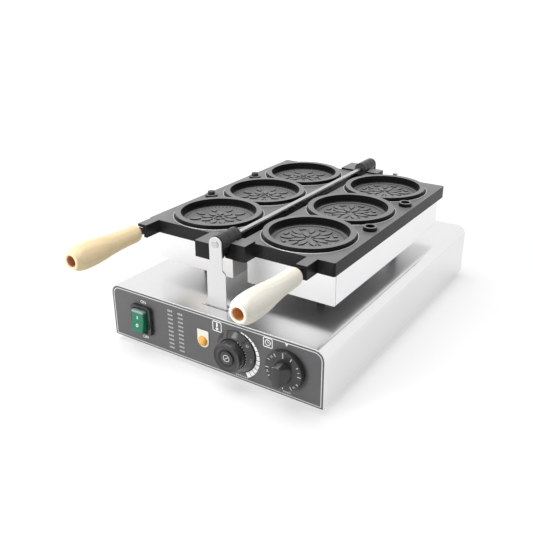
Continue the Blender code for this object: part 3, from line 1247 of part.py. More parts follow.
def build():
    """Make every piece of the machine."""
    steel = surface("brushed_steel", (0.78, 0.78, 0.78), 0.32, 1.0)
    polished = surface("polished_steel", (0.86, 0.86, 0.86), 0.18, 1.0)
    coated = surface("coated_casting", (0.045, 0.045, 0.048), 0.38, 0.35)
    overlay_paint = surface("overlay_grey", (0.105, 0.105, 0.108), 0.45)
    black = surface("black_plastic", (0.02, 0.02, 0.021), 0.35)
    green = surface("green_plastic", (0.03, 0.28, 0.16), 0.25)
    amber = surface("amber_lens", (0.85, 0.42, 0.08), 0.2, 0.0, 0.4)
    white = surface("label_white", (0.85, 0.84, 0.78), 0.5)
    wood = surface("pale_beech", (0.80, 0.66, 0.46), 0.55)
    rubber = surface("black_rubber", (0.03, 0.03, 0.03), 0.8)
    fibre = surface("ceramic_fibre", (0.78, 0.76, 0.70), 0.9)
    ceramic = surface("glazed_ceramic", (0.82, 0.80, 0.74), 0.4)

    base_shell(steel)
    panels(steel, overlay_paint)
    feet(rubber)
    brackets_and_rod(steel, polished)
    rest_posts(rubber)
    rocker_switch(black, green)
    indicator(white, amber, black)
    temperature_control(black, black, polished)
    timer_control(black, black, polished)
    wiring(ceramic, black, rubber)

    for side, word in ((-1, "left"), (1, "right")):
        carrier = empty(word + "_hinge", (0, 0, HINGE_Z), MACHINE)
        mould_plate(word + "_mould_plate", side, coated, carrier)
        heater_cover(word + "_heater_cover", side, polished, carrier)
        cover_bolts(word, side, polished, carrier)
        heater(word + "_heater", side, steel, carrier)
        insulation(word + "_insulation", side, fibre, carrier)
        handle(word + "_handle", side, wood, polished, carrier)
        gland(word + "_lead_gland", side * GLAND_AXIS_X, COVER_END_Y, COVER_SHEET, GLAND_Z, polished, carrier)
        hinge_knuckles(word, side, coated, carrier)
        if side < 0:
            locating_pins(polished, carrier)
        else:
            sensor_gland(polished, carrier)


build()
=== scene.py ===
"""Looks of the coin waffle maker: finishes, fine details and the studio around the packed part.

Lengths are in metres, in the packed part's own frame: the front panel faces -Y and +Z is up.
The file is laid out as a Blender add-on and runs as a script.
"""
import json
import math

import bmesh
import bpy
from mathutils import Euler, Matrix, Vector
from mathutils.bvhtree import BVHTree

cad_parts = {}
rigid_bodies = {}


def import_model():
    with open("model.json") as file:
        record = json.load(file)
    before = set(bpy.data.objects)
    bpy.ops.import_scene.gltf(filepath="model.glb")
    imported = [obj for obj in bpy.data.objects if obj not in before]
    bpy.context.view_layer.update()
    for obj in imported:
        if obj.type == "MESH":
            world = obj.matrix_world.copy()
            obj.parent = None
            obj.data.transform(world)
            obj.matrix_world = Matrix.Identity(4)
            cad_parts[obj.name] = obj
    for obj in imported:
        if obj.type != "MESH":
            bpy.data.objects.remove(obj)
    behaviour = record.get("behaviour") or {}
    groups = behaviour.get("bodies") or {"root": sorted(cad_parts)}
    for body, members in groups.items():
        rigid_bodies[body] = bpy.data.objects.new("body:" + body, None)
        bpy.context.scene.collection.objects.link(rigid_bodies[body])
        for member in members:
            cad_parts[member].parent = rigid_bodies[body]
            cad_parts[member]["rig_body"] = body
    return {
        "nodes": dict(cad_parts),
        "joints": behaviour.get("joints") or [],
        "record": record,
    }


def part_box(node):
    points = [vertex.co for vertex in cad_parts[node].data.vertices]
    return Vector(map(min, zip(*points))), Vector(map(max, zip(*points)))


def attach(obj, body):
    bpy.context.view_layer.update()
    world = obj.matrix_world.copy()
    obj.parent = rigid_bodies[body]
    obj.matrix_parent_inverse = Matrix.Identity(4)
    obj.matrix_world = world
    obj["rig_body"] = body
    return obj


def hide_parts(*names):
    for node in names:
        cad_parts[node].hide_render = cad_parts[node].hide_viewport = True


bl_info = {
    "name": "Coin waffle maker looks",
    "version": (1, 0, 0),
    "blender": (4, 5, 0),
    "location": "3D View > Sidebar > Waffle maker",
    "description": "Dresses the packed coin waffle maker and sets it in a plain studio",
    "category": "Object",
}

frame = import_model()
NODES = frame["nodes"]
RECORD = frame["record"]
JOINTS = {joint["name"]: Vector(joint["pos_m"]) for joint in frame["joints"]}
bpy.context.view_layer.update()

# Facets of round pieces
FINE = 96
ROUND = 48
SMALL = 24

# How far added forms reach into what carries them, and half the thickness of a painted skin
SUNK = 0.0002
FILM = 0.0001

# The photograph's frame and camera
PHOTO_SIDE = 533
FOCAL_PIXELS = 678.98
SENSOR_WIDTH = 36.0
CAMERA_PLACE = (0.49898, -0.81917, 0.50872)
CAMERA_TURN = (65.970, 0.2625, 33.523)

# Places taken from the packed part
PANEL_LOW, PANEL_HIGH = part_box("control_overlay")
PANEL_Y = PANEL_LOW.y
BASE_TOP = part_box("base_shell")[1].z
LABEL_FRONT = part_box("lamp_label")[0].y
TEMPERATURE_AXIS = JOINTS["temperature_turn"]
TIMER_AXIS = JOINTS["timer_turn"]
HINGE = JOINTS["left_iron_hinge"]
MOULDS = {opening["name"]: opening["box_m"] for opening in RECORD["physics"]["openings"]}

# Sizes of the mould plates that the finish follows
CAVITY_FLOOR_Z = 0.1698
CAVITY_FLOOR_RADIUS = 0.0536
CAVITY_PITCH = 0.1206
RING_RADIUS = 0.0633
PLATE_TOP_Z = 0.1762
KNUCKLE_REACH = 0.0107

# Plain finishes, each with its colour, roughness, texture to a metre and clear coat
PLAIN = {
    "foot_rubber": ((0.03, 0.03, 0.03), 0.75, 2500.0, 0.0),
    "slot_shade": ((0.02, 0.02, 0.02), 0.6, 1400.0, 0.0),
    # A grey film that paints the shade of the right cover's front corner
    "seam_shade": ((0.2, 0.2, 0.2), 0.5, 1400.0, 0.0),
    "fibre": ((0.72, 0.70, 0.64), 0.9, 600.0, 0.0),
    # A black film that paints the shade in the gap at each ring's foot
    "ring_soot": ((0.012, 0.012, 0.012), 0.6, 1500.0, 0.0),
    "black_steel": ((0.02, 0.02, 0.021), 0.28, 1200.0, 0.0),
    # A black film that paints the temperature knob's shadow on the panel
    "black_print": ((0.012, 0.012, 0.012), 0.45, 1400.0, 0.0),
    "label_enamel": ((0.76, 0.75, 0.68), 0.4, 900.0, 0.0),
    "skirt_gloss": ((0.014, 0.014, 0.015), 0.16, 700.0, 1.0),
    "ceramic": ((0.80, 0.78, 0.72), 0.3, 1400.0, 0.0),
}

# Colours inside the other finishes
BRASS = ((0.80, 0.56, 0.22, 1.0), (0.92, 0.70, 0.34, 1.0))
# Painted sheen: lighter green where the rocker turns from the eye
ROCKER_PAINTED_SHEEN = (0.03, 0.24, 0.16, 1.0)
# Painted highlight along the rocker's upper edge, as if lit from above
ROCKER_TOP_HIGHLIGHT = (0.42, 0.52, 0.52, 1.0)
WHITE = (1.0, 1.0, 1.0, 1.0)


# Mesh helpers


def circle(centre, radius, sides, start=0.0, turn=360.0):
    """Points round a circle, in degrees from start; a full turn leaves out its last point."""
    steps = sides if turn == 360.0 else sides + 1
    angles = [math.radians(start + turn * step / sides) for step in range(steps)]
    return [(centre[0] + radius * math.cos(a), centre[1] + radius * math.sin(a)) for a in angles]


def turns(count):
    """Equal angles of a full turn, in radians."""
    return [2 * math.pi * index / count for index in range(count)]


def arc_bar(centre, inner, outer, start, turn, steps=4):
    """Outline of a piece of a ring."""
    outside = circle(centre, outer, steps, start, turn)
    inside = circle(centre, inner, steps, start, turn)
    return outside + list(reversed(inside))


def bar_outline(centre, width, height):
    """Outline of a small upright rectangle."""
    x, z = centre
    return [(x - width / 2, z - height / 2), (x + width / 2, z - height / 2),
            (x + width / 2, z + height / 2), (x - width / 2, z + height / 2)]


def on_panel(point, out):
    """A point of the front panel, some way out from its face."""
    return Vector((point[0], PANEL_Y - out, point[1]))


def on_floor(point, up):
    """A point seen from above, at a height."""
    return Vector((point[0], point[1], up))


def by_matrix(carry):
    """Placing rule that carries a flat point and a depth by a matrix."""
    return lambda point, out: carry @ Vector((point[0], point[1], out))


def middle_of(node):
    """Middle of a node's box."""
    low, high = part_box(node)
    return (low + high) / 2


def width_of(node):
    """Width of a node's box."""
    low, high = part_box(node)
    return high.x - low.x


def prism(shape, outline, place, low=-FILM, high=FILM):
    """Add a flat shape of some thickness; place turns a flat point and a depth into a 3D point."""
    bottom = [shape.verts.new(place(point, low)) for point in outline]
    top = [shape.verts.new(place(point, high)) for point in outline]
    count = len(outline)
    for index in range(count):
        after = (index + 1) % count
        shape.faces.new((bottom[index], bottom[after], top[after], top[index]))
    shape.faces.new(top)
    shape.faces.new(list(reversed(bottom)))


def loft(shape, loops, closed=False):
    """Join loops of equally many points; closed joins the last one to the first one."""
    rings = [[shape.verts.new(point) for point in loop] for loop in loops]
    pairs = list(zip(rings, rings[1:]))
    if closed:
        pairs.append((rings[-1], rings[0]))
    for one, other in pairs:
        for index in range(len(one)):
            after = (index + 1) % len(one)
            shape.faces.new((one[index], one[after], other[after], other[index]))
    if not closed:
        shape.faces.new(list(reversed(rings[0])))
        shape.faces.new(rings[-1])


def revolve(shape, profile, centre, axis, sides=ROUND, ring=False):
    """Turn a profile of (radius, height) points about an axis; ring closes it on itself."""
    turn = Vector((0, 0, 1)).rotation_difference(Vector(axis)).to_matrix().to_4x4()
    carry = Matrix.Translation(Vector(centre)) @ turn
    loops = []
    for radius, height in profile:
        flat = circle((0, 0), max(radius, 1e-6), sides)
        loops.append([carry @ Vector((x, y, height)) for x, y in flat])
    loft(shape, loops, closed=ring)


def revolve_out(shape, profile, axis, start=PANEL_Y, sides=FINE, ring=False):
    """Turn a profile of (radius, distance out) about a control's axis."""
    revolve(shape, profile, (axis.x, start, axis.z), (0, -1, 0), sides, ring)


def square_ring(inner, outer, low, high):
    """Profile of a ring with four corners."""
    return [(inner, low), (inner, high), (outer, high), (outer, low)]


def dome(radius, height, steps=6):
    """Profile of a rounded cap, from its top down to its rim."""
    angles = [math.pi / 2 * step / steps for step in range(steps + 1)]
    return [(radius * math.sin(a), height * math.cos(a)) for a in angles]


def button(shape, centre, axis, radius, height, sides=SMALL, steps=6, sunk=SUNK):
    """Add a rounded head that stands on a face."""
    profile = dome(radius, height, steps) + [(radius, -sunk), (0.0, -sunk)]
    revolve(shape, profile, centre, axis, sides)


def words(shape, text, height, carry, rise=FILM):
    """Add raised plain characters, centred, carried to their place by a matrix."""
    curve = bpy.data.curves.new("words", "FONT")
    curve.body = text
    curve.size = height
    curve.align_x = "CENTER"
    curve.align_y = "CENTER"
    curve.extrude = rise
    curve.resolution_u = 3
    holder = bpy.data.objects.new("words", curve)
    bpy.context.scene.collection.objects.link(holder)
    bpy.context.view_layer.update()
    mesh = bpy.data.meshes.new_from_object(holder.evaluated_get(bpy.context.evaluated_depsgraph_get()))
    mesh.transform(carry)
    shape.from_mesh(mesh)
    bpy.data.objects.remove(holder)
    bpy.data.curves.remove(curve)
    bpy.data.meshes.remove(mesh)


def piece(name, fill, material, body, *given, replaces=(), angle=35, slot=None):
    """Make a mesh piece with fill, let it ride on a body, and let it stand for nodes it replaces."""
    shape = bmesh.new()
    fill(shape, *given)
    bmesh.ops.recalc_face_normals(shape, faces=shape.faces)
    mesh = bpy.data.meshes.new(name)
    shape.to_mesh(mesh)
    shape.free()
    mesh.shade_smooth()
    mesh.set_sharp_from_angle(angle=math.radians(angle))
    mesh.materials.append(material)
    obj = bpy.data.objects.new(name, mesh)
    bpy.context.scene.collection.objects.link(obj)
    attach(obj, body)
    if replaces:
        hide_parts(*replaces)
    return obj


def rounded(obj, width, segments=2):
    """Round a piece's sharp edges and keep its flat faces flat."""
    bevel = obj.modifiers.new("edges", "BEVEL")
    bevel.width = width
    bevel.segments = segments
    bevel.limit_method = "ANGLE"
    bevel.angle_limit = math.radians(30)
    bevel.harden_normals = True
    normals = obj.modifiers.new("flats", "WEIGHTED_NORMAL")
    normals.keep_sharp = True


def finished(node, material, width, segments=2):
    """Stand a copy of a node, with rounded edges, in the node's place."""
    def fill(shape):
        shape.from_mesh(NODES[node].data)
        bmesh.ops.remove_doubles(shape, verts=shape.verts, dist=1e-6)
        bmesh.ops.dissolve_limit(shape, angle_limit=math.radians(0.5), verts=shape.verts, edges=shape.edges)

    obj = piece(node + "_finished", fill, material, NODES[node]["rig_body"], replaces=(node,), angle=180)
    carried = obj.data.attributes.get("custom_normal")
    if carried:
        obj.data.attributes.remove(carried)
    rounded(obj, width, segments)


def dress(material, *nodes):
    """Give packed nodes a finish."""
    for node in nodes:
        for slot in NODES[node].material_slots:
            slot.material = material


# Node tree helpers


class Tree:
    """Builds a shader node tree, from inputs to outputs."""

    def __init__(self, tree):
        self.tree = tree
        self.column = 0

    def add(self, kind, feeds=None, **settings):
        """Add a node, with values or sockets for its inputs."""
        node = self.tree.nodes.new(kind)
        node.location = (self.column * 180, -(self.column % 3) * 160)
        self.column += 1
        for name, value in settings.items():
            setattr(node, name, value)
        self.feed(node, feeds or {})
        return node

    def feed(self, node, feeds):
        """Link outputs to a node's inputs, or set the inputs' own values."""
        for name, value in feeds.items():
            socket = node.inputs[name]
            if isinstance(value, bpy.types.NodeSocket):
                self.tree.links.new(value, socket)
            else:
                socket.default_value = value

    def math(self, operation, first, second=0.5):
        """One step of arithmetic."""
        return self.add("ShaderNodeMath", {0: first, 1: second}, operation=operation).outputs[0]

    def times(self, first, second):
        """Product of two values."""
        return self.math("MULTIPLY", first, second)

    def plus(self, first, second):
        """Sum of two values."""
        return self.math("ADD", first, second)

    def between(self, value, low, high, out_low, out_high):
        """Carry a value from one range to another."""
        return self.add("ShaderNodeMapRange", {"Value": value, "From Min": low, "From Max": high,
                                               "To Min": out_low, "To Max": out_high}).outputs[0]

    def spread(self, noise, low, high):
        """Carry the usual range of a noise to another range."""
        return self.between(noise, 0.3, 0.7, low, high)

    def mix(self, factor, one, other):
        """Blend two colours."""
        return self.add("ShaderNodeMix", {0: factor, 6: one, 7: other}, data_type="RGBA").outputs[2]

    def noise(self, vector, scale, detail=3.0, roughness=0.5):
        """A cloud of values from 0 to 1."""
        return self.add("ShaderNodeTexNoise", {"Vector": vector, "Scale": scale, "Detail": detail,
                                               "Roughness": roughness}).outputs["Fac"]

    def place(self, kind="Object"):
        """Coordinates of the shaded point, or another output of that node."""
        return self.add("ShaderNodeTexCoord").outputs[kind]

    def stretched(self, vector, scale):
        """Coordinates scaled by an amount along each axis."""
        return self.add("ShaderNodeMapping", {"Vector": vector, "Scale": scale}).outputs[0]

    def split(self, vector):
        """The X, Y and Z of a vector."""
        return self.add("ShaderNodeSeparateXYZ", {0: vector}).outputs

    def facing(self, blend):
        """How far a face turns away from the eye."""
        return self.add("ShaderNodeLayerWeight", {"Blend": blend}).outputs["Facing"]

    def bump(self, height, distance, strength):
        """Turn a height into a normal."""
        return self.add("ShaderNodeBump", {"Height": height, "Distance": distance,
                                           "Strength": strength}).outputs[0]


def brushed_grain(tree, given):
    """Fine straight brush lines with slow smudges over them."""
    return {"Lines": tree.noise(given["Vector"], 1.0, 4.0, 0.7),
            "Smudge": tree.noise(tree.place(), given["Smudge Size"], 3.0, 0.55)}


def cast_skin(tree, given):
    """Blasted casting skin: fine pits, slow clouds and a mask of worn edges."""
    place = tree.place()
    fine = tree.noise(place, given["Grain Size"], 4.0, 0.65)
    coarse = tree.noise(place, tree.times(given["Grain Size"], 0.28), 2.0, 0.5)
    pointed = tree.add("ShaderNodeNewGeometry").outputs["Pointiness"]
    edges = tree.between(pointed, 0.52, 0.62, 0.0, 1.0)
    return {"Pits": tree.plus(tree.times(fine, 0.6), tree.times(coarse, 0.4)),
            "Clouds": tree.noise(place, given["Cloud Size"], 4.0, 0.6),
            "Edges": tree.times(edges, tree.between(fine, 0.35, 0.65, 0.2, 1.0))}


def wood_fibre(tree, given):
    """Straight grain along Y: growth bands, fibres and short pores."""
    shifted = tree.add("ShaderNodeVectorMath", {0: tree.place(), 1: given["Seed"]},
                       operation="ADD").outputs[0]
    long_way = tree.stretched(shifted, (1.0, 0.08, 1.0))
    warp = tree.noise(long_way, 60.0, 2.0, 0.5)
    parts = tree.split(long_way)
    across = tree.plus(parts["X"], tree.times(parts["Z"], 0.6))
    bent = tree.plus(across, tree.times(warp, 0.02))
    wave = tree.math("SINE", tree.times(bent, tree.times(given["Band Size"], 6.0)))
    pores = tree.noise(tree.stretched(shifted, (1.0, 0.12, 1.0)), 1500.0, 1.0, 0.5)
    return {"Bands": tree.between(wave, -1.0, 1.0, 0.0, 1.0),
            "Fibres": tree.noise(tree.stretched(shifted, (1.0, 0.03, 1.0)), 2400.0, 3.0, 0.6),
            "Pores": tree.between(pores, 0.30, 0.36, 1.0, 0.0)}


def moulded_skin(tree, given):
    """Moulded plastic or paint: an eggshell texture and faint handling marks."""
    place = tree.place()
    return {"Texture": tree.noise(place, given["Texture Size"], 2.0, 0.5),
            "Marks": tree.noise(place, given["Mark Size"], 4.0, 0.6)}


# Shared effects, each with its inputs; an input without a number is a vector
EFFECTS = {
    brushed_grain: {"Vector": None, "Smudge Size": 9.0},
    cast_skin: {"Grain Size": 900.0, "Cloud Size": 16.0},
    wood_fibre: {"Band Size": 170.0, "Seed": 0.0},
    moulded_skin: {"Texture Size": 1400.0, "Mark Size": 40.0},
}


def new_group(draw):
    """Make the node group of a shared effect."""
    group = bpy.data.node_groups.new(draw.__name__, "ShaderNodeTree")
    for label, default in EFFECTS[draw].items():
        kind = "NodeSocketVector" if default is None else "NodeSocketFloat"
        socket = group.interface.new_socket(label, in_out="INPUT", socket_type=kind)
        if default is not None:
            socket.default_value = default
    tree = Tree(group)
    made = draw(tree, tree.add("NodeGroupInput").outputs)
    for label in made:
        group.interface.new_socket(label, in_out="OUTPUT", socket_type="NodeSocketFloat")
    tree.add("NodeGroupOutput", made)
    return group


def effect(tree, draw, feeds):
    """Place a shared effect in a material, making it the first time."""
    group = bpy.data.node_groups.get(draw.__name__) or new_group(draw)
    node = tree.add("ShaderNodeGroup", node_tree=group)
    tree.feed(node, feeds)
    return node.outputs


def new_finish(name):
    """Start a material: its node tree and its shader."""
    material = bpy.data.materials.new(name)
    material.use_nodes = True
    shader = material.node_tree.nodes["Principled BSDF"]
    shader.location = (2600, 0)
    material.node_tree.nodes["Material Output"].location = (2900, 0)
    return material, Tree(material.node_tree), shader


def shade_of(color, share):
    """A colour made lighter or darker."""
    return (color[0] * share, color[1] * share, color[2] * share, 1.0)


# Materials


def steel_finish(name, look, along, roughness, tone=1.0):
    """Brushed stainless steel, with lines along one axis."""
    material, tree, shader = new_finish(name)
    scale = [look.grain * (0.012 if axis == along else 1.0) for axis in "XYZ"]
    grain = effect(tree, brushed_grain, {"Vector": tree.stretched(tree.place(), scale)})
    steel = shade_of(look.color, tone)
    tint = tree.mix(grain["Lines"], shade_of(steel, 0.93), shade_of(steel, 1.04))
    smudged = tree.between(grain["Smudge"], 0.35, 0.7, 0.0, 0.25)
    tree.feed(shader, {
        "Base Color": tree.mix(smudged, tint, shade_of(steel, 0.9)),
        "Roughness": tree.plus(tree.spread(grain["Lines"], roughness - 0.05, roughness + 0.06),
                               tree.between(grain["Smudge"], 0.3, 0.75, -0.03, 0.05)),
        "Normal": tree.bump(grain["Lines"], 0.00002, 0.5),
        "Metallic": 1.0,
    })
    return material


def bright_finish(name, look, roughness=0.16, tone=1.0):
    """Turned or rolled bright steel with faint marks."""
    material, tree, shader = new_finish(name)
    skin = effect(tree, moulded_skin, {"Texture Size": 900.0, "Mark Size": 60.0})
    steel = shade_of(look.color, tone)
    tree.feed(shader, {
        "Base Color": tree.mix(skin["Marks"], shade_of(steel, 0.92), shade_of(steel, 1.03)),
        "Roughness": tree.between(skin["Marks"], 0.25, 0.75, roughness - 0.04, roughness + 0.08),
        "Normal": tree.bump(skin["Texture"], 0.00001, 0.3),
        "Metallic": 1.0,
    })
    return material


def gold_finish(name, look):
    """Bright brass of the lamp's rim."""
    material = bright_finish(name, look, 0.2)
    tree = Tree(material.node_tree)
    skin = effect(tree, moulded_skin, {"Texture Size": 900.0, "Mark Size": 200.0})
    tree.feed(material.node_tree.nodes["Principled BSDF"], {"Base Color": tree.mix(skin["Marks"], *BRASS)})
    return material


def casting_finish(name, look):
    """Coated cast metal: satin on top, worn at its edges and darker on the knuckles, with painted light:
    tops painted lighter and upright faces painted darker, as if lit from above.
    """
    material, tree, shader = new_finish(name)
    skin = effect(tree, cast_skin, {"Grain Size": look.grain, "Cloud Size": 18.0})
    color = look.color
    clouds = tree.mix(tree.spread(skin["Clouds"], 0.0, 1.0), shade_of(color, 0.86), shade_of(color, 1.14))
    # Painted light: faces that turn up take the lit colour, upright faces a painted shade of it
    top_light_mask = tree.between(tree.split(tree.place("Normal"))["Z"], 0.55, 0.97, 0.0, 1.0)
    wall_shaded_color = tree.mix(top_light_mask, shade_of(color, look.wall), clouds)
    worn = tree.mix(tree.times(skin["Edges"], look.wear), wall_shaded_color, shade_of(color, 1.8))
    rough = tree.plus(tree.spread(skin["Pits"], look.roughness - 0.05, look.roughness + 0.07),
                      tree.spread(skin["Clouds"], -0.03, 0.04))
    place = tree.split(tree.place())
    up = tree.math("SUBTRACT", place["Z"], HINGE.z)
    reach = tree.math("SQRT", tree.plus(tree.times(place["X"], place["X"]), tree.times(up, up)))
    knuckle = tree.between(reach, KNUCKLE_REACH, KNUCKLE_REACH + 0.0005, 1.0, 0.0)
    tree.feed(shader, {
        "Base Color": tree.mix(knuckle, worn, shade_of(color, 0.3)),
        "Roughness": tree.times(rough, tree.between(knuckle, 0.0, 1.0, 1.0, 0.45)),
        "Normal": tree.bump(skin["Pits"], 0.00008, 0.55),
        "Specular IOR Level": 0.14,
        "Sheen Weight": look.sheen,
        "Sheen Roughness": 0.35,
    })
    return material


def plastic_finish(name, color, roughness, texture=1400.0, coat=0.0):
    """Moulded plastic or enamel paint."""
    material, tree, shader = new_finish(name)
    skin = effect(tree, moulded_skin, {"Texture Size": texture, "Mark Size": 45.0})
    marks = tree.spread(skin["Marks"], 0.0, 1.0)
    tree.feed(shader, {
        "Base Color": tree.mix(marks, shade_of(color, 0.92), shade_of(color, 1.08)),
        "Roughness": tree.spread(skin["Marks"], roughness - 0.04, roughness + 0.07),
        "Normal": tree.bump(skin["Texture"], 0.00002, 0.35),
        "Coat Weight": coat,
        "Coat Roughness": 0.12,
    })
    return material


def wood_finish(name, pale, dark, seed):
    """Bare turned wood with growth bands, fibres and pores."""
    material, tree, shader = new_finish(name)
    grain = effect(tree, wood_fibre, {"Seed": seed})
    bands = tree.mix(tree.between(grain["Bands"], 0.0, 1.0, 0.0, 0.7), pale, dark)
    fibres = tree.mix(tree.between(grain["Fibres"], 0.3, 0.75, 0.0, 0.35), bands, shade_of(dark, 0.86))
    height = tree.math("SUBTRACT", grain["Fibres"], tree.times(grain["Pores"], 0.8))
    tree.feed(shader, {
        "Base Color": tree.mix(tree.times(grain["Pores"], 0.35), fibres, shade_of(dark, 0.6)),
        "Roughness": tree.between(grain["Fibres"], 0.2, 0.8, 0.46, 0.62),
        "Normal": tree.bump(height, 0.00006, 0.4),
    })
    return material


def rocker_finish(name, color):
    """Clear green plastic of the rocker: deep colour, a glossy face, a painted sheen that turns it lighter
    at low angles and a painted highlight along its upper edge.
    """
    material, tree, shader = new_finish(name)
    skin = effect(tree, moulded_skin, {"Texture Size": 500.0, "Mark Size": 90.0})
    deep = tree.mix(skin["Marks"], shade_of(color, 0.7), shade_of(color, 1.15))
    # Painted sheen: the green turns lighter towards low angles
    green = tree.mix(tree.facing(0.35), deep, ROCKER_PAINTED_SHEEN)
    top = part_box("switch_rocker")[1].z
    # Painted highlight: a pale band along the upper edge, as if lit from above
    top_highlight = tree.between(tree.split(tree.place())["Z"], top - 0.0034, top - 0.0026, 0.0, 0.75)
    tree.feed(shader, {
        "Base Color": tree.mix(top_highlight, green, ROCKER_TOP_HIGHLIGHT),
        "Roughness": tree.spread(skin["Marks"], 0.10, 0.2),
        "Transmission Weight": 0.15,
        "Specular IOR Level": 0.3,
        "Coat Weight": 0.15,
        "Coat Roughness": 0.06,
    })
    return material


def lens_finish(name, color):
    """Amber lens with a painted shade that darkens its rim as it turns from the eye, and a faint glow."""
    material, tree, shader = new_finish(name)
    skin = effect(tree, moulded_skin, {"Texture Size": 700.0, "Mark Size": 260.0})
    # Painted shade: the colour and the glow darken where the lens turns from the eye
    facing = tree.facing(0.4)
    warm = tree.mix(skin["Marks"], shade_of(color, 0.9), shade_of(color, 1.1))
    tree.feed(shader, {
        "Base Color": tree.mix(facing, warm, shade_of(color, 0.28)),
        "Roughness": tree.spread(skin["Marks"], 0.06, 0.14),
        "Emission Color": tree.mix(facing, shade_of(color, 1.0), shade_of(color, 0.2)),
        "Emission Strength": 0.01,
        "Transmission Weight": 0.2,
        "Coat Weight": 1.0,
    })
    return material


# Values that a user would change


def colour(name, says, default):
    """A colour to choose."""
    return bpy.props.FloatVectorProperty(name=name, description=says, default=default, size=3,
                                         subtype="COLOR")


def factor(name, says, default):
    """A share to choose."""
    return bpy.props.FloatProperty(name=name, description=says, default=default, subtype="FACTOR")


def distance(name, says, default):
    """A length to choose."""
    return bpy.props.FloatProperty(name=name, description=says, default=default, unit="LENGTH")


def power(name, says, default):
    """A lamp's power to choose."""
    return bpy.props.FloatProperty(name=name, description=says, default=default, subtype="POWER")


def density(name, says, default):
    """How many of something a metre holds, to choose."""
    return bpy.props.FloatProperty(name=name, description=says, default=default, min=100.0)


def number(name, says, default, least):
    """A count to choose."""
    return bpy.props.IntProperty(name=name, description=says, default=default, min=least)


class SteelLook(bpy.types.PropertyGroup):
    """Stainless steel of the housing, covers and brackets."""
    color: colour("Colour", "Colour of the bare steel", (0.86, 0.86, 0.863))
    grain: density("Grain", "Brush lines to a metre", 2600.0)
    roughness: factor("Roughness", "Roughness of brushed sheet", 0.30)


class CastingLook(bpy.types.PropertyGroup):
    """Coated castings of the mould plates."""
    color: colour("Colour", "Colour of the coating", (0.200, 0.200, 0.202))
    # The share on upright faces is painted shade, as if the castings were lit from above
    wall: factor("Walls", "Share of that colour on upright faces", 0.035)
    grain: density("Grain", "Pits to a metre", 1100.0)
    roughness: factor("Roughness", "Roughness of the coating", 0.30)
    sheen: factor("Sheen", "Pale sheen at low angles", 0.03)
    wear: factor("Wear", "How far edges are worn", 0.08)
    edge: distance("Edge", "Rounding of cast edges", 0.0007)
    fillet: distance("Fillet", "Hollow curve at each mould's floor", 0.00192)


class OrnamentLook(bpy.types.PropertyGroup):
    """Raised ornament on the floors of the moulds."""
    rise: distance("Rise", "Height over the mould's floor", 0.0016)
    beads: number("Beads", "Beads round each mould", 54, 6)
    petals: number("Petals", "Petals of the rosette", 9, 3)
    points: number("Points", "Points of the star", 8, 3)


class WoodLook(bpy.types.PropertyGroup):
    """Turned wooden handles."""
    left: colour("Left", "Colour of the left handle", (0.96, 0.78, 0.49))
    right: colour("Right", "Colour of the right handle", (0.96, 0.94, 0.86))
    # Painted shade: the colour that darkens the inside of the bore
    bore: colour("Bore", "Colour deep in the bore", (0.86, 0.47, 0.20))
    edge: distance("Edge", "Rounding of the free end", 0.0035)


class PanelLook(bpy.types.PropertyGroup):
    """Control panel and its printed marks."""
    paint: colour("Paint", "Colour of the panel", (0.098, 0.098, 0.101))
    print: colour("Print", "Colour of the printed marks", (0.90, 0.90, 0.90))
    line: distance("Line", "Width of the line round the panel", 0.0011)
    inset: distance("Inset", "Distance of that line from the edge", 0.0021)
    relief: distance("Relief", "Thickness of the print", 0.00012)


class ControlLook(bpy.types.PropertyGroup):
    """Knobs, switch and lamp."""
    black: colour("Black", "Colour of the knobs and the bezel", (0.026, 0.026, 0.027))
    green: colour("Green", "Colour of the rocker", (0.01, 0.20, 0.10))
    amber: colour("Amber", "Colour of the lens", (0.74, 0.38, 0.06))
    edge: distance("Edge", "Rounding of moulded edges", 0.0006)


class StudioLook(bpy.types.PropertyGroup):
    """Floor, light and camera."""
    floor: colour("Floor", "Colour of the floor", (0.62, 0.62, 0.62))
    ambient: factor("Ambient", "Light from all round", 0.50)
    key: power("Key", "Power of the large overhead light", 28.0)
    front: power("Front", "Power of the soft light in front", 30.0)
    lens: bpy.props.FloatProperty(name="Lens", description="Focal length of the camera",
                                  default=FOCAL_PIXELS / PHOTO_SIDE * SENSOR_WIDTH / 1000,
                                  unit="CAMERA")


def looks_of(name, kind):
    """A group of values."""
    return bpy.props.PointerProperty(name=name, description=kind.__doc__, type=kind)


class WaffleLooks(bpy.types.PropertyGroup):
    """All looks of the waffle maker."""
    steel: looks_of("Steel", SteelLook)
    casting: looks_of("Castings", CastingLook)
    ornament: looks_of("Ornament", OrnamentLook)
    wood: looks_of("Handles", WoodLook)
    panel: looks_of("Panel", PanelLook)
    controls: looks_of("Controls", ControlLook)
    studio: looks_of("Studio", StudioLook)


def looks():
    """The values that the pieces are made from."""
    return bpy.context.scene.waffle_looks


def finish(name, make, *values):
    """A material by name, made the first time it is asked for."""
    return bpy.data.materials.get(name) or make(name, *values)


def plain(name):
    """One of the plain finishes."""
    return finish(name, plastic_finish, *PLAIN[name])


def casting():
    """The coating of every casting."""
    return finish("coating", casting_finish, looks().casting)


def bright():
    """Bright turned steel."""
    return finish("bright_steel", bright_finish, looks().steel)


def black_plastic():
    """Black plastic of the knobs and the switch."""
    return finish("knob_plastic", plastic_finish, looks().controls.black, 0.24, 900.0, 0.2)


def print_ink(name="pale_print", share=1.0):
    """Pale printed marks, or a share of their colour."""
    return finish(name, plastic_finish, shade_of(looks().panel.print, share), 0.5)


# Steelwork

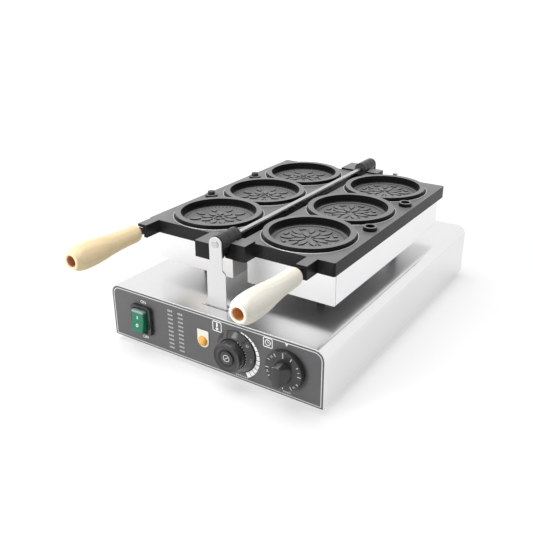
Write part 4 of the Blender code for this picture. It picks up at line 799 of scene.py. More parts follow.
SHEET_EDGE = 0.0004
THIN_EDGE = 0.0003
RUBBER_EDGE = 0.0005
FOOT_EDGE = 0.0006
SCREW_RADIUS = 0.0034
SCREW_RISE = 0.0018
SCREW_SUNK = 0.0003
SCREW_INSET = 0.009
SCREW_HEIGHTS = (0.03, 0.07)
SCREW_SPREAD = 0.06
SLOT_OPENING = 0.0007
SLOT_LEFT = 0.0095
SLOT_RIGHT = 0.0025
SLOT_FRONT = 0.0009
RIVET_PLACES = ((0.0052, 0.0070), (0.0045, 0.0015))
RIVET_RADIUS = 0.0010
ROD_EDGE = 0.0005
# Sizes of the painted corner shade on the right cover
SEAM_WIDTH = 0.0005
SEAM_INSET = 0.0022
SEAM_CLEARANCE = 0.004


class WAFFLE_OT_housing(bpy.types.Operator):
    """Finish the base housing, its rear, bottom and feet"""
    bl_idname = "waffle.housing"
    bl_label = "Housing"

    def execute(self, context):
        look = looks().steel
        sheet = finish("brushed_sheet", steel_finish, look, "X", look.roughness - 0.1)
        finished("base_shell", sheet, SHEET_EDGE)
        finished("rear_panel", sheet, THIN_EDGE)
        dress(sheet, "front_panel", "bottom_cover")
        rubber = plain("foot_rubber")
        for corner in ("front_left", "front_right", "rear_left", "rear_right"):
            finished(corner + "_foot", rubber, FOOT_EDGE)
            finished(corner + "_rest_post", rubber, RUBBER_EDGE)
        for word in ("left", "right"):
            finished(word + "_lead_grommet", rubber, RUBBER_EDGE)
        dress(black_plastic(), "mains_gland")
        piece("rear_screws", self.rear_screws, bright(), "base", slot="polished_steel")
        return {"FINISHED"}

    def rear_screws(self, shape):
        """Round screw heads along the rear panel's edge."""
        low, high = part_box("rear_panel")
        places = [(x, z) for x in (low.x + SCREW_INSET, high.x - SCREW_INSET) for z in SCREW_HEIGHTS]
        places += [(x, high.z - SCREW_INSET) for x in (-SCREW_SPREAD, SCREW_SPREAD)]
        for x, z in places:
            button(shape, (x, high.y, z), (0, 1, 0), SCREW_RADIUS, SCREW_RISE, sunk=SCREW_SUNK)


class WAFFLE_OT_hinge(bpy.types.Operator):
    """Finish the brackets, the rod and their small fittings"""
    bl_idname = "waffle.hinge"
    bl_label = "Hinge"

    def execute(self, context):
        look = looks().steel
        sheet = finish("bracket_sheet", steel_finish, look, "Z", look.roughness + 0.04, 0.9)
        for word in ("front", "rear"):
            finished(word + "_bracket", sheet, SHEET_EDGE)
            dress(bright(), word + "_left_bracket_screw", word + "_right_bracket_screw")
        piece("bracket_slot", self.slot, plain("slot_shade"), "base", slot="brushed_steel")
        finished("hinge_rod", finish("rod_steel", bright_finish, look, 0.28, 0.72), ROD_EDGE)
        return {"FINISHED"}

    def slot(self, shape):
        """Open end of the front bracket's slot in the base top as a dark film of painted shade, and two
        small dark rivets by it.
        """
        low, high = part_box("front_bracket")
        left, right, front = low.x - SLOT_LEFT, high.x + SLOT_RIGHT, low.y - SLOT_FRONT
        opening = bar_outline(((left + right) / 2, front - SLOT_OPENING / 2), right - left, SLOT_OPENING)
        rivets = [circle((low.x - aside, low.y + back), RIVET_RADIUS, 12) for aside, back in RIVET_PLACES]
        for outline in (opening, *rivets):
            prism(shape, outline, on_floor, BASE_TOP - FILM, BASE_TOP + FILM)


class WAFFLE_OT_covers(bpy.types.Operator):
    """Finish the heater covers and what hangs on them"""
    bl_idname = "waffle.covers"
    bl_label = "Heater covers"

    def execute(self, context):
        look = looks().steel
        sheet = finish("cover_sheet", steel_finish, look, "Y", look.roughness + 0.08, 1.1)
        for word in ("left", "right"):
            finished(word + "_heater_cover", sheet, THIN_EDGE)
            dress(plain("fibre"), word + "_insulation")
            dress(bright(), word + "_heater", word + "_lead_gland", "front_%s_cover_bolt" % word,
                  "rear_%s_cover_bolt" % word)
        finished("sensor_gland", bright(), SHEET_EDGE)
        # Painted shade: a grey line where the right cover turns its front corner
        piece("cover_seam", self.seam, plain("seam_shade"), "right_iron", slot="brushed_steel")
        return {"FINISHED"}

    def seam(self, shape):
        """Thin grey line on the right cover's side by its front right corner, a painted shade where the
        sheet turns the corner.
        """
        low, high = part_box("right_heater_cover")
        place = (low.y + SEAM_INSET, (low.z + high.z) / 2)
        prism(shape, bar_outline(place, SEAM_WIDTH, (high.z - low.z) - SEAM_CLEARANCE),
              lambda point, out: Vector((high.x + out, *point)))


# Castings, with the bead's places as distances from the rings

GAP_WIDTH = 0.0021
BEAD_START = 0.0020
BEAD_WIDTH = 0.0011
BEAD_HEIGHT = 0.0006
KNUCKLE_EDGE = 0.0011
PIN_EDGE = 0.0007


def bead_profile():
    """Profile of the low bead round the rings, with sloping shoulders."""
    shares = ((0.0, 0.7), (0.25, 1.0), (0.75, 1.0), (1.0, 0.7))
    top = [(BEAD_START + BEAD_WIDTH * across, BEAD_HEIGHT * up) for across, up in shares]
    return [(BEAD_START, -SUNK), *top, (BEAD_START + BEAD_WIDTH, -SUNK)]


def ring_outline(x, radius):
    """Outline, seen from above, of three circles of a row that run into each other."""
    half = math.degrees(math.acos(min(1.0, CAVITY_PITCH / 2 / radius)))
    points = []
    for index in (-1, 0, 1):
        low = -90 if index == -1 else half - 90
        high = 90 if index == 1 else 90 - half
        side = circle((x, HINGE.y + index * CAVITY_PITCH), radius, ROUND, low, high - low)
        points += side if index == -1 else side[1:]
    mirrored = [(2 * x - across, up) for across, up in reversed(points)]
    return points + mirrored[1:-1]


def mould_centres(side):
    """Centres of a row's moulds, by name."""
    places = {}
    for word in ("front", "middle", "rear"):
        low, high = MOULDS["%s_%s_mould" % (side, word)]
        places[word] = ((low[0] + high[0]) / 2, (low[1] + high[1]) / 2)
    return places


class WAFFLE_OT_castings(bpy.types.Operator):
    """Finish the mould plates, with rounded edges, a bead round the rings with a painted highlight, and a
    band of painted shade at the rings' foot
    """
    bl_idname = "waffle.castings"
    bl_label = "Castings"

    def execute(self, context):
        # Painted highlight: the bead is bright steel so it shows as a bright line at each ring's foot
        worn = finish("worn_bead", bright_finish, looks().steel, 0.34, 0.8)
        # Painted shade: a black band at each ring's foot stands for the dark gap there
        gap = square_ring(-SUNK, GAP_WIDTH, -SUNK, SUNK)
        for side in ("left", "right"):
            body = side + "_iron"
            finished(side + "_mould_plate", casting(), looks().casting.edge)
            piece(side + "_ring_gap", self.round_rings, plain("ring_soot"), body, side, gap,
                  slot="coated_casting")
            piece(side + "_ring_bead", self.round_rings, worn, body, side, bead_profile(),
                  slot="coated_casting")
            piece(side + "_cavity_fillets", self.cavity_fillets, casting(), body, side,
                  slot="coated_casting")
        for word in ("front", "rear"):
            for side in ("left", "right"):
                finished("%s_%s_hinge_knuckle" % (word, side), casting(), KNUCKLE_EDGE, 3)
            finished(word + "_locating_pin", plain("black_steel"), PIN_EDGE)
        return {"FINISHED"}

    def round_rings(self, shape, side, profile):
        """Carry a profile of (distance, height) round a row of rings, at their foot."""
        x = mould_centres(side)["middle"][0]
        loops = [[on_floor(point, PLATE_TOP_Z + up) for point in ring_outline(x, RING_RADIUS + out)]
                 for out, up in profile]
        loft(shape, loops, closed=True)

    def cavity_fillets(self, shape, side):
        """Hollow curve at the edge of each mould's floor."""
        radius = looks().casting.fillet
        wall = CAVITY_FLOOR_RADIUS
        profile = [(wall + SUNK, radius)]
        profile += circle((wall - radius, radius), radius, 4, 0.0, -90.0)
        profile += [(wall - radius, -SUNK), (wall + SUNK, -SUNK)]
        for x, y in mould_centres(side).values():
            revolve(shape, profile, (x, y, CAVITY_FLOOR_Z), (0, 0, 1), FINE, ring=True)


# Ornament of the moulds, with each leaf as its near end, far end and width

ORNAMENT_EDGE = 0.0003
BEAD_CIRCLE = 0.0480
FLOOR_BEAD_RADIUS = 0.0010
BROAD_PETAL = (0.0095, 0.0270, 0.0092)
OUTER_LEAF = (0.0255, 0.0425, 0.0078)
ROSETTE_BAND = (0.0052, 0.0076)
BOSS_RADIUS = 0.0036
BOSS_HEIGHT = 0.0016
STAR_BAND = (0.0470, 0.0480)
STAR_BAND_SHARE = 0.6
STAR_RAY = (0.0050, 0.0290, 0.0088)
STAR_LOZENGE = (0.0180, 0.0400, 0.0080)
STAR_BAR = (0.0335, 0.0385)
STAR_BAR_TURN = 14


def petal(centre, angle, near, far, width, steps=6):
    """Outline of a pointed leaf that lies along an angle."""
    points = []
    for way in (1, -1):
        span = range(steps + 1) if way > 0 else range(steps - 1, 0, -1)
        for step in span:
            share = step / steps
            reach = near + (far - near) * share
            half = width / 2 * math.sin(math.pi * share) ** 0.8 * way if 0 < share < 1 else 0.0
            points.append((centre[0] + reach * math.cos(angle) - half * math.sin(angle),
                           centre[1] + reach * math.sin(angle) + half * math.cos(angle)))
    return points


class WAFFLE_OT_ornament(bpy.types.Operator):
    """Raise a plain ornament on the floor of each mould"""
    bl_idname = "waffle.ornament"
    bl_label = "Mould ornament"

    def execute(self, context):
        for side, draw in (("left", self.rosette), ("right", self.star)):
            for word, centre in mould_centres(side).items():
                obj = piece("%s_%s_ornament" % (side, word), draw, casting(), side + "_iron", centre,
                            slot="coated_casting")
                rounded(obj, ORNAMENT_EDGE, 1)
        return {"FINISHED"}

    def raised(self, shape, outline):
        """Add one raised form, sunk a little into the floor."""
        prism(shape, outline, on_floor, CAVITY_FLOOR_Z - SUNK, CAVITY_FLOOR_Z + looks().ornament.rise)

    def band(self, shape, centre, inner, outer, share=1.0):
        """Add a raised round band."""
        profile = square_ring(inner, outer, -SUNK, looks().ornament.rise * share)
        revolve(shape, profile, (*centre, CAVITY_FLOOR_Z), (0, 0, 1), FINE, ring=True)

    def rosette(self, shape, centre):
        """Broad petals round a boss, with leaves and beads outside them."""
        look = looks().ornament
        for x, y in circle(centre, BEAD_CIRCLE, look.beads):
            button(shape, (x, y, CAVITY_FLOOR_Z), (0, 0, 1), FLOOR_BEAD_RADIUS, FLOOR_BEAD_RADIUS, 8, 3)
        for turn in turns(look.petals):
            self.raised(shape, petal(centre, turn, *BROAD_PETAL))
            self.raised(shape, petal(centre, turn + math.pi / look.petals, *OUTER_LEAF))
        self.band(shape, centre, *ROSETTE_BAND)
        button(shape, (*centre, CAVITY_FLOOR_Z), (0, 0, 1), BOSS_RADIUS, BOSS_HEIGHT)

    def star(self, shape, centre):
        """Star of broad rays, with lozenges and short bars outside it."""
        count = looks().ornament.points
        self.band(shape, centre, *STAR_BAND, STAR_BAND_SHARE)
        for turn in turns(count):
            self.raised(shape, petal(centre, turn, *STAR_RAY))
            self.raised(shape, petal(centre, turn + math.pi / count, *STAR_LOZENGE))
            start = math.degrees(turn) - STAR_BAR_TURN / 2
            self.raised(shape, arc_bar(centre, *STAR_BAR, start, STAR_BAR_TURN))


# Handles

HANDLE_LEAST_RADIUS = 0.0098
HANDLE_END_EDGE = 0.001
HANDLE_END_SMOOTH = 0.0016
HANDLE_BORE_RADIUS = 0.0078
HANDLE_BORE_DEPTH = 0.030
LINING_START = 0.0012
LINING_WALL = 0.0003
STUD_HOLE_RADIUS = 0.0048
STUD_HOLE_DEPTH = 0.04


def radius_at(rings, along):
    """Radius at a distance along the handle, between two measured rings."""
    for (d0, r0), (d1, r1) in zip(rings, rings[1:]):
        if d0 <= along <= d1:
            return r0 + (r1 - r0) * (along - d0) / (d1 - d0)
    return rings[-1][1] if along > rings[-1][0] else rings[0][1]


class WAFFLE_OT_handles(bpy.types.Operator):
    """Turn smooth wooden handles on their steel studs"""
    bl_idname = "waffle.handles"
    bl_label = "Handles"

    def execute(self, context):
        look = looks().wood
        left_bore_shade = (look.bore[0] * 0.8, look.bore[1] * 0.72, look.bore[2])
        for side, color, seed, tint in (("left", look.left, 0.0, left_bore_shade),
                                        ("right", look.right, 0.37, look.bore)):
            dark = (color[0] * 0.96, color[1] * 0.91, color[2] * 0.84, 1.0)
            wood = finish(side + "_wood", wood_finish, shade_of(color, 1.03), dark, seed)
            # Painted shade: the bore's wood is darker and browner than the handle's
            deep = finish(side + "_bore_wood", wood_finish, shade_of(tint, 1.05), shade_of(tint, 0.75), 0.9)
            node = side + "_handle"
            piece(node + "_turned", self.turned, wood, side + "_iron", node, replaces=(node,), angle=60)
            piece(node + "_bore", self.bore, deep, side + "_iron", node, angle=60, slot="pale_beech")
            dress(bright(), side + "_handle_stud")
        return {"FINISHED"}

    def measured(self, node):
        """Rings of the packed handle, as (distance from its free end, radius)."""
        start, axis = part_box(node)[0].y, middle_of(node)
        rings = {}
        for vertex in NODES[node].data.vertices:
            reach = math.hypot(vertex.co.x - axis.x, vertex.co.z - axis.z)
            along = round(vertex.co.y - start, 5)
            rings[along] = max(rings.get(along, 0.0), reach)
        return sorted(rings.items())

    def along_handle(self, shape, profile, node, sides):
        """Turn a profile of (radius, distance from the free end) about a handle's axis."""
        axis = middle_of(node)
        revolve(shape, profile, (axis.x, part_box(node)[0].y, axis.z), (0, 1, 0), sides)

    def turned(self, shape, node):
        """The packed handle's outline with more facets, a rounded free end and its bore."""
        rings = self.measured(node)
        length = rings[-1][0]
        edge, bore, hole = looks().wood.edge, HANDLE_BORE_RADIUS, length - STUD_HOLE_DEPTH
        outer = [(along, radius) for along, radius in rings if radius > HANDLE_LEAST_RADIUS]
        rim, last = outer[0][1], outer[-1][1]
        profile = [(0.0, HANDLE_BORE_DEPTH), (bore, HANDLE_BORE_DEPTH), (bore, edge * 0.4),
                   (bore + edge * 0.3, 0.0)]
        profile += circle((rim - edge, edge), edge, 5, -90.0, 90.0)
        steps = 28
        for along in [length * step / steps for step in range(steps + 1)]:
            if edge * 1.4 < along < length - HANDLE_END_SMOOTH:
                profile.append((radius_at(outer, along), along))
        profile += [(last, length - HANDLE_END_EDGE), (last - HANDLE_END_EDGE, length),
                    (STUD_HOLE_RADIUS, length), (STUD_HOLE_RADIUS, hole), (0.0, hole)]
        self.along_handle(shape, profile, node, FINE)

    def bore(self, shape, node):
        """Brown sleeve inside the bore, a painted shade that darkens it past its mouth."""
        outer, deep = HANDLE_BORE_RADIUS - FILM, HANDLE_BORE_DEPTH - SUNK
        inner = outer - LINING_WALL
        profile = [(0.0, deep), (outer, deep), (outer, LINING_START), (inner, LINING_START),
                   (inner, deep - SUNK), (0.0, deep - SUNK)]
        self.along_handle(shape, profile, node, ROUND)


# Control panel, with places as (x, z) in its plane

PANEL_CORNER = 0.0135
SIGN_CORNER = 0.0022
SIGN_LINE = 0.0011
THERMOMETER = (0.0148, 0.0773)
THERMOMETER_SIDE = 0.0148
CLOCK = (0.0942, 0.0785)
CLOCK_SIDE = 0.0142
POINTER_Z = 0.0840
SWITCH_WORDS = {"ON": (-0.1150, 0.0765), "OFF": (-0.1150, 0.0210)}
SWITCH_WORD_HEIGHT = 0.0064
SCALE_CENTRE = (TEMPERATURE_AXIS.x + 0.0018, TEMPERATURE_AXIS.z - 0.0003)
SCALE_RADIUS = 0.0302
SCALE_SEGMENTS = 12
SCALE_SEGMENT_SHARE = 0.87
SCALE_WIDTH = 0.0014
SCALE_WIDENING = 0.0062
# Inner radius of the temperature knob's painted shadow
KNOB_SHADOW_RADIUS = 0.0225
SMALL_PRINT_COLUMNS = (-0.0660, -0.0480)
SMALL_PRINT_TOP = 0.0770
SMALL_PRINT_PITCH = 0.00635
SMALL_PRINT_DASHES = ((-0.0032, 0.0022), (-0.0004, 0.0024), (0.0028, 0.0028))
SMALL_PRINT_ROWS = 10
SMALL_PRINT_DROP = 0.0004
FOOT_PRINT = ((TEMPERATURE_AXIS.x + 0.0085, 0.0150, 7), (TIMER_AXIS.x + 0.0010, 0.0155, 4))
FOOT_PRINT_PITCH = 0.0029
FOOT_PRINT_SIDE = 0.0021


class WAFFLE_OT_panel(bpy.types.Operator):
    """Print the control panel: border line, ticks, plain signs and scales, and paint the temperature knob's
    shadow
    """
    bl_idname = "waffle.panel"
    bl_label = "Control panel"

    def execute(self, context):
        dress(finish("panel_paint", plastic_finish, looks().panel.paint, 0.42, 1800.0), "control_overlay")
        for name, fill, material, slot in (
                ("panel_border", self.border, bright(), "polished_steel"),
                ("panel_print", self.marks, print_ink(), "label_white"),
                ("panel_scale_ground", self.scale_ground, plain("black_print"), "black_plastic"),
                ("panel_small_print", self.soft_marks, print_ink("grey_print", 0.5), "label_white")):
            piece(name, fill, material, "base", slot=slot)
        return {"FINISHED"}

    def stamp(self, shape, outline):
        """Print one closed shape."""
        prism(shape, outline, on_panel, -FILM, looks().panel.relief)

    def line_between(self, shape, outer, inner):
        """Print the line between two outlines."""
        relief = looks().panel.relief
        loft(shape, [[on_panel(point, out) for point in outline] for outline, out in
                     ((outer, -FILM), (outer, relief), (inner, relief), (inner, -FILM))], closed=True)

    def panel_outline(self, inset):
        """The panel's outline, with its rounded upper corners, drawn in by an inset."""
        radius = PANEL_CORNER - inset
        half = PANEL_HIGH.x - inset
        top = PANEL_HIGH.z - inset
        points = [(-half, PANEL_LOW.z + inset), (half, PANEL_LOW.z + inset)]
        points += circle((half - radius, top - radius), radius, 12, 0, 90)
        return points + circle((radius - half, top - radius), radius, 12, 90, 90)

    def sign_outline(self, centre, side, inset):
        """Outline of a sign's square, with rounded corners, drawn in by an inset."""
        radius = max(SIGN_CORNER - inset, 0.0008)
        reach = side / 2 - inset - radius
        points = []
        for start, x, z in ((0, 1, 1), (90, -1, 1), (180, -1, -1), (270, 1, -1)):
            points += circle((centre[0] + reach * x, centre[1] + reach * z), radius, 4, start, 90)
        return points

    def sign(self, shape, centre, side):
        """Outlined square of a sign."""
        self.line_between(shape, self.sign_outline(centre, side, 0.0),
                          self.sign_outline(centre, side, SIGN_LINE))

    def border(self, shape):
        """Thin bright line inset from the panel's edge."""
        look = looks().panel
        self.line_between(shape, self.panel_outline(look.inset), self.panel_outline(look.inset + look.line))

    def marks(self, shape):
        """Signs, scale and words in clear white."""
        self.switch_words(shape)
        self.thermometer(shape)
        self.heat_scale(shape)
        self.clock(shape)
        x, z = TIMER_AXIS.x, POINTER_Z
        self.stamp(shape, [(x - 0.0025, z + 0.0022), (x, z - 0.0024), (x + 0.0025, z + 0.0022)])

    def soft_marks(self, shape):
        """Rows of short dashes in grey, in the places of small print."""
        for column, x in enumerate(SMALL_PRINT_COLUMNS):
            for row in range(SMALL_PRINT_ROWS):
                z = SMALL_PRINT_TOP - SMALL_PRINT_PITCH * row - SMALL_PRINT_DROP * column
                for place, wide in SMALL_PRINT_DASHES:
                    self.stamp(shape, bar_outline((x + place, z), wide, 0.0029 if row == 0 else 0.0023))
        for middle, z, count in FOOT_PRINT:
            for index in range(count):
                x = middle + FOOT_PRINT_PITCH * (index - (count - 1) / 2)
                self.stamp(shape, bar_outline((x, z), FOOT_PRINT_SIDE, FOOT_PRINT_SIDE))

    def switch_words(self, shape):
        """ON and OFF by the switch."""
        upright = Euler((math.pi / 2, 0, 0)).to_matrix().to_4x4()
        for text, place in SWITCH_WORDS.items():
            words(shape, text, SWITCH_WORD_HEIGHT, Matrix.Translation(on_panel(place, 0)) @ upright,
                  looks().panel.relief)

    def thermometer(self, shape):
        """Sign of a thermometer in a square."""
        x, z = THERMOMETER
        self.sign(shape, THERMOMETER, THERMOMETER_SIDE)
        self.stamp(shape, bar_outline((x, z + 0.0012), 0.0024, 0.0080))
        self.stamp(shape, circle((x, z - 0.0032), 0.0022, 16))

    def heat_scale(self, shape):
        """Segmented arc that widens round the right of the temperature knob."""
        first, last = 78.0, -66.0
        step = (last - first) / SCALE_SEGMENTS
        for index in range(SCALE_SEGMENTS):
            outer = SCALE_RADIUS + SCALE_WIDTH + SCALE_WIDENING * (index + 0.5) / SCALE_SEGMENTS
            self.stamp(shape, arc_bar(SCALE_CENTRE, SCALE_RADIUS, outer, first + step * index,
                                      step * SCALE_SEGMENT_SHARE))

    def scale_ground(self, shape):
        """Painted shadow of the temperature knob's skirt: a black band between the knob and its scale,
        partly a dark printed ground.
        """
        outline = arc_bar(SCALE_CENTRE, KNOB_SHADOW_RADIUS, SCALE_RADIUS - SUNK, 112, -190, 40)
        prism(shape, outline, on_panel)

    def clock(self, shape):
        """Sign of a clock in a square."""
        x, z = CLOCK
        self.sign(shape, CLOCK, CLOCK_SIDE)
        self.stamp(shape, arc_bar(CLOCK, 0.0034, 0.0044, 0, 359, 24))
        self.stamp(shape, bar_outline((x, z + 0.0013), 0.0009, 0.0030))
        self.stamp(shape, bar_outline((x + 0.0011, z), 0.0026, 0.0009))


# Switch


class WAFFLE_OT_switch(bpy.types.Operator):
    """Finish the rocker switch and its marks"""
    bl_idname = "waffle.switch"
    bl_label = "Rocker switch"

    def execute(self, context):
        look = looks().controls
        finished("switch_housing", black_plastic(), look.edge)
        finished("switch_rocker", finish("rocker_plastic", rocker_finish, look.green), look.edge)
        piece("rocker_marks", self.marks, print_ink(), "rocker", slot="label_white")
        return {"FINISHED"}

    def marks(self, shape):
        """A bar on the upper half of the rocker and a ring on its lower half."""
        middle = middle_of("switch_rocker")
        for up, outline in ((0.0060, bar_outline((0, 0), 0.0014, 0.0046)),
                            (-0.0055, arc_bar((0, 0), 0.0014, 0.0023, 0, 359, 20))):
            height, reach = middle.z + up, 0.002
            below, surface, above = [self.face_at(middle.x, height + way) for way in (-reach, 0.0, reach)]
            slope = (above - below) / (2 * reach)
            prism(shape, outline, lambda point, out: Vector(
                (middle.x + point[0], surface + slope * point[1] - out, height + point[1])), -SUNK, SUNK)

    def face_at(self, x, height):
        """Front of the rocker at a height."""
        shape = bmesh.new()
        shape.from_mesh(NODES["switch_rocker"].data)
        place = BVHTree.FromBMesh(shape).ray_cast(Vector((x, -0.5, height)), Vector((0, 1, 0)))[0]
        shape.free()
        if place is None:
            raise RuntimeError("the rocker has no face at height %.4f" % height)
        return place.y


# Lamp

LABEL_EDGE = 0.0002
LENS_STEM_RADIUS = 0.0045
LENS_STEM_DEPTH = 0.004
RIM_HEIGHT = 0.0007
RIM_WIDTH = 0.0010


class WAFFLE_OT_lamp(bpy.types.Operator):
    """Finish the indicator lamp and its label"""
    bl_idname = "waffle.lamp"
    bl_label = "Indicator lamp"

    def execute(self, context):
        finished("lamp_label", plain("label_enamel"), LABEL_EDGE)
        amber = finish("amber_lens", lens_finish, looks().controls.amber)
        piece("lamp_lens_domed", self.lens, amber, "base", replaces=("lamp_lens",))
        gold = finish("gold_rim", gold_finish, looks().steel)
        piece("lamp_ring", self.ring, gold, "base", slot="polished_steel")
        return {"FINISHED"}

    def lens(self, shape):
        """Smooth ball with a short stem."""
        radius, stem = width_of("lamp_lens") / 2, LENS_STEM_RADIUS
        profile = dome(radius, LABEL_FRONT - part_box("lamp_lens")[0].y, 12)
        profile += [(radius, -SUNK), (stem, -SUNK), (stem, -LENS_STEM_DEPTH), (0.0, -LENS_STEM_DEPTH)]
        revolve_out(shape, profile, middle_of("lamp_lens"), LABEL_FRONT, ROUND)

    def ring(self, shape):
        """Narrow rim round the lens."""
        inner = width_of("lamp_lens") / 2 + FILM
        profile = [(inner, 0.0), (inner, RIM_HEIGHT), (inner + RIM_WIDTH * 0.8, RIM_HEIGHT),
                   (inner + RIM_WIDTH, 0.0)]
        revolve_out(shape, profile, middle_of("lamp_lens"), LABEL_FRONT, ROUND, ring=True)


# Knobs, with profiles as (radius, distance from the panel) and places by degrees clockwise from the top

SKIRT_START = 0.0008
TEMPERATURE_GRIP_RADIUS = 0.0207
TEMPERATURE_SKIRT_FRONT = 0.0093
TEMPERATURE_NUMBERS = {60: 52.0, 120: 97.0, 180: 142.0, 240: 187.0, 300: 232.0}
TEMPERATURE_NUMBER_RADIUS = 0.02685
TEMPERATURE_NUMBER_OUT = 0.00512
TEMPERATURE_NUMBER_HEIGHT = 0.0046
SKIRT_SLOPE = (0.0071, 0.0052)
DOTS = 19
DOT_START = 26.0
DOT_PITCH = 10.5
DOT_CIRCLE = 0.0223
DOT_RADIUS = 0.0007
TIMER_SKIRT_FRONT = 0.0088
TIMER_GRIP_START = 0.0048
TIMER_GRIP_FOOT = (0.0290, 0.0315)
TIMER_GRIP_FRONT = (0.0110, 0.0290)
TIMER_GRIP_SQUARENESS = 0.75
TIMER_GRIP_EDGE = 0.0005
TIMER_NUMBERS = {5: 75, 10: 135, 15: 195, 20: 255, 25: 315}
TIMER_NUMBER_RADIUS = 0.0232
TIMER_NUMBER_HEIGHT = 0.0042
TICK_WIDTH = 0.0011


def skirt_place(axis, turn, radius, out, tilt=0.0):
    """Matrix on a knob's skirt; tilt leans the face outwards, in degrees."""
    way = math.radians(turn)
    spot = Vector((axis.x + radius * math.sin(way), PANEL_Y - out, axis.z + radius * math.cos(way)))
    upright = Euler((math.pi / 2, 0, 0)).to_matrix().to_4x4()
    spin = Matrix.Rotation(-way, 4, "Z")
    lean = Matrix.Rotation(-math.radians(tilt), 4, "X")
    return Matrix.Translation(spot) @ upright @ spin @ lean


class WAFFLE_OT_temperature_knob(bpy.types.Operator):
    """Finish the temperature knob, its dial and its grip"""
    bl_idname = "waffle.temperature_knob"
    bl_label = "Temperature knob"

    def execute(self, context):
        body = "temperature_control"
        ink = print_ink("dial_print", 0.7)
        piece("temperature_skirt", self.skirt, plain("skirt_gloss"), body, angle=40, slot="black_plastic")
        piece("temperature_knob_turned", self.knob, black_plastic(), body, replaces=("temperature_knob",),
              angle=40)
        piece("temperature_dial", self.dial, ink, body, slot="label_white")
        piece("temperature_cap_mark", self.cap_mark, ink, body, slot="label_white")
        dress(bright(), "thermostat_shaft")
        return {"FINISHED"}

    def knob(self, shape):
        """Smooth grip, and a face with a shallow dish, a low ridge and a round cap."""
        grip = TEMPERATURE_GRIP_RADIUS
        front = PANEL_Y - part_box("temperature_knob")[0].y
        cap = [(0.0, 0.0002), (0.0088, 0.0002), (0.0096, 0.0007), (0.0099, 0.0026)]
        ridge = [(0.0108, 0.0026), (0.0122, 0.0008), (0.0134, 0.0002)]
        dish = [(0.0150, 0.0012), (0.0176, 0.0014), (0.0192, 0.0004)]
        rim = [(0.0200, 0.0), (0.0205, 0.0005), (grip, 0.0012)]
        profile = [(radius, front - back) for radius, back in cap + ridge + dish + rim]
        foot = TEMPERATURE_SKIRT_FRONT - 0.0005
        revolve_out(shape, profile + [(grip, foot), (0.0, foot)], TEMPERATURE_AXIS)

    def skirt(self, shape):
        """Sloping skirt with a rounded front edge."""
        radius, front = width_of("temperature_knob") / 2, TEMPERATURE_SKIRT_FRONT
        profile = [(0.0, front - 0.0003), (0.0210, front - 0.0003), (0.0214, front), (0.0228, front),
                   (0.0236, front - 0.0004), (0.0242, front - 0.0012), (radius - 0.0008, 0.0019),
                   (radius, 0.0011), (radius - 0.0003, SKIRT_START), (0.0, SKIRT_START)]
        revolve_out(shape, profile, TEMPERATURE_AXIS)

    def dial(self, shape):
        """Numbers on the skirt's slope and dots along its front edge."""
        lean = math.degrees(math.atan2(*SKIRT_SLOPE))
        for value, turn in TEMPERATURE_NUMBERS.items():
            place = skirt_place(TEMPERATURE_AXIS, turn, TEMPERATURE_NUMBER_RADIUS, TEMPERATURE_NUMBER_OUT,
                                lean)
            words(shape, str(value), TEMPERATURE_NUMBER_HEIGHT, place)
        for index in range(DOTS):
            place = skirt_place(TEMPERATURE_AXIS, DOT_START + DOT_PITCH * index, DOT_CIRCLE,
                                TEMPERATURE_SKIRT_FRONT + FILM)
            prism(shape, circle((0, 0), DOT_RADIUS, 8), by_matrix(place))

    def cap_mark(self, shape):
        """Fine ring with a short slanted bar on the cap."""
        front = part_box("temperature_knob")[0].y + SUNK
        ring = square_ring(0.0041, 0.0050, -SUNK, SUNK)
        revolve_out(shape, ring, TEMPERATURE_AXIS, front, ROUND, ring=True)
        face = Vector((TEMPERATURE_AXIS.x, front, TEMPERATURE_AXIS.z))
        slant = Matrix.Rotation(math.radians(-35), 3, "Y")
        prism(shape, bar_outline((0, 0), 0.0066, 0.0010),
              lambda point, out: face + slant @ Vector((point[0], -out, point[1])), -FILM, SUNK)


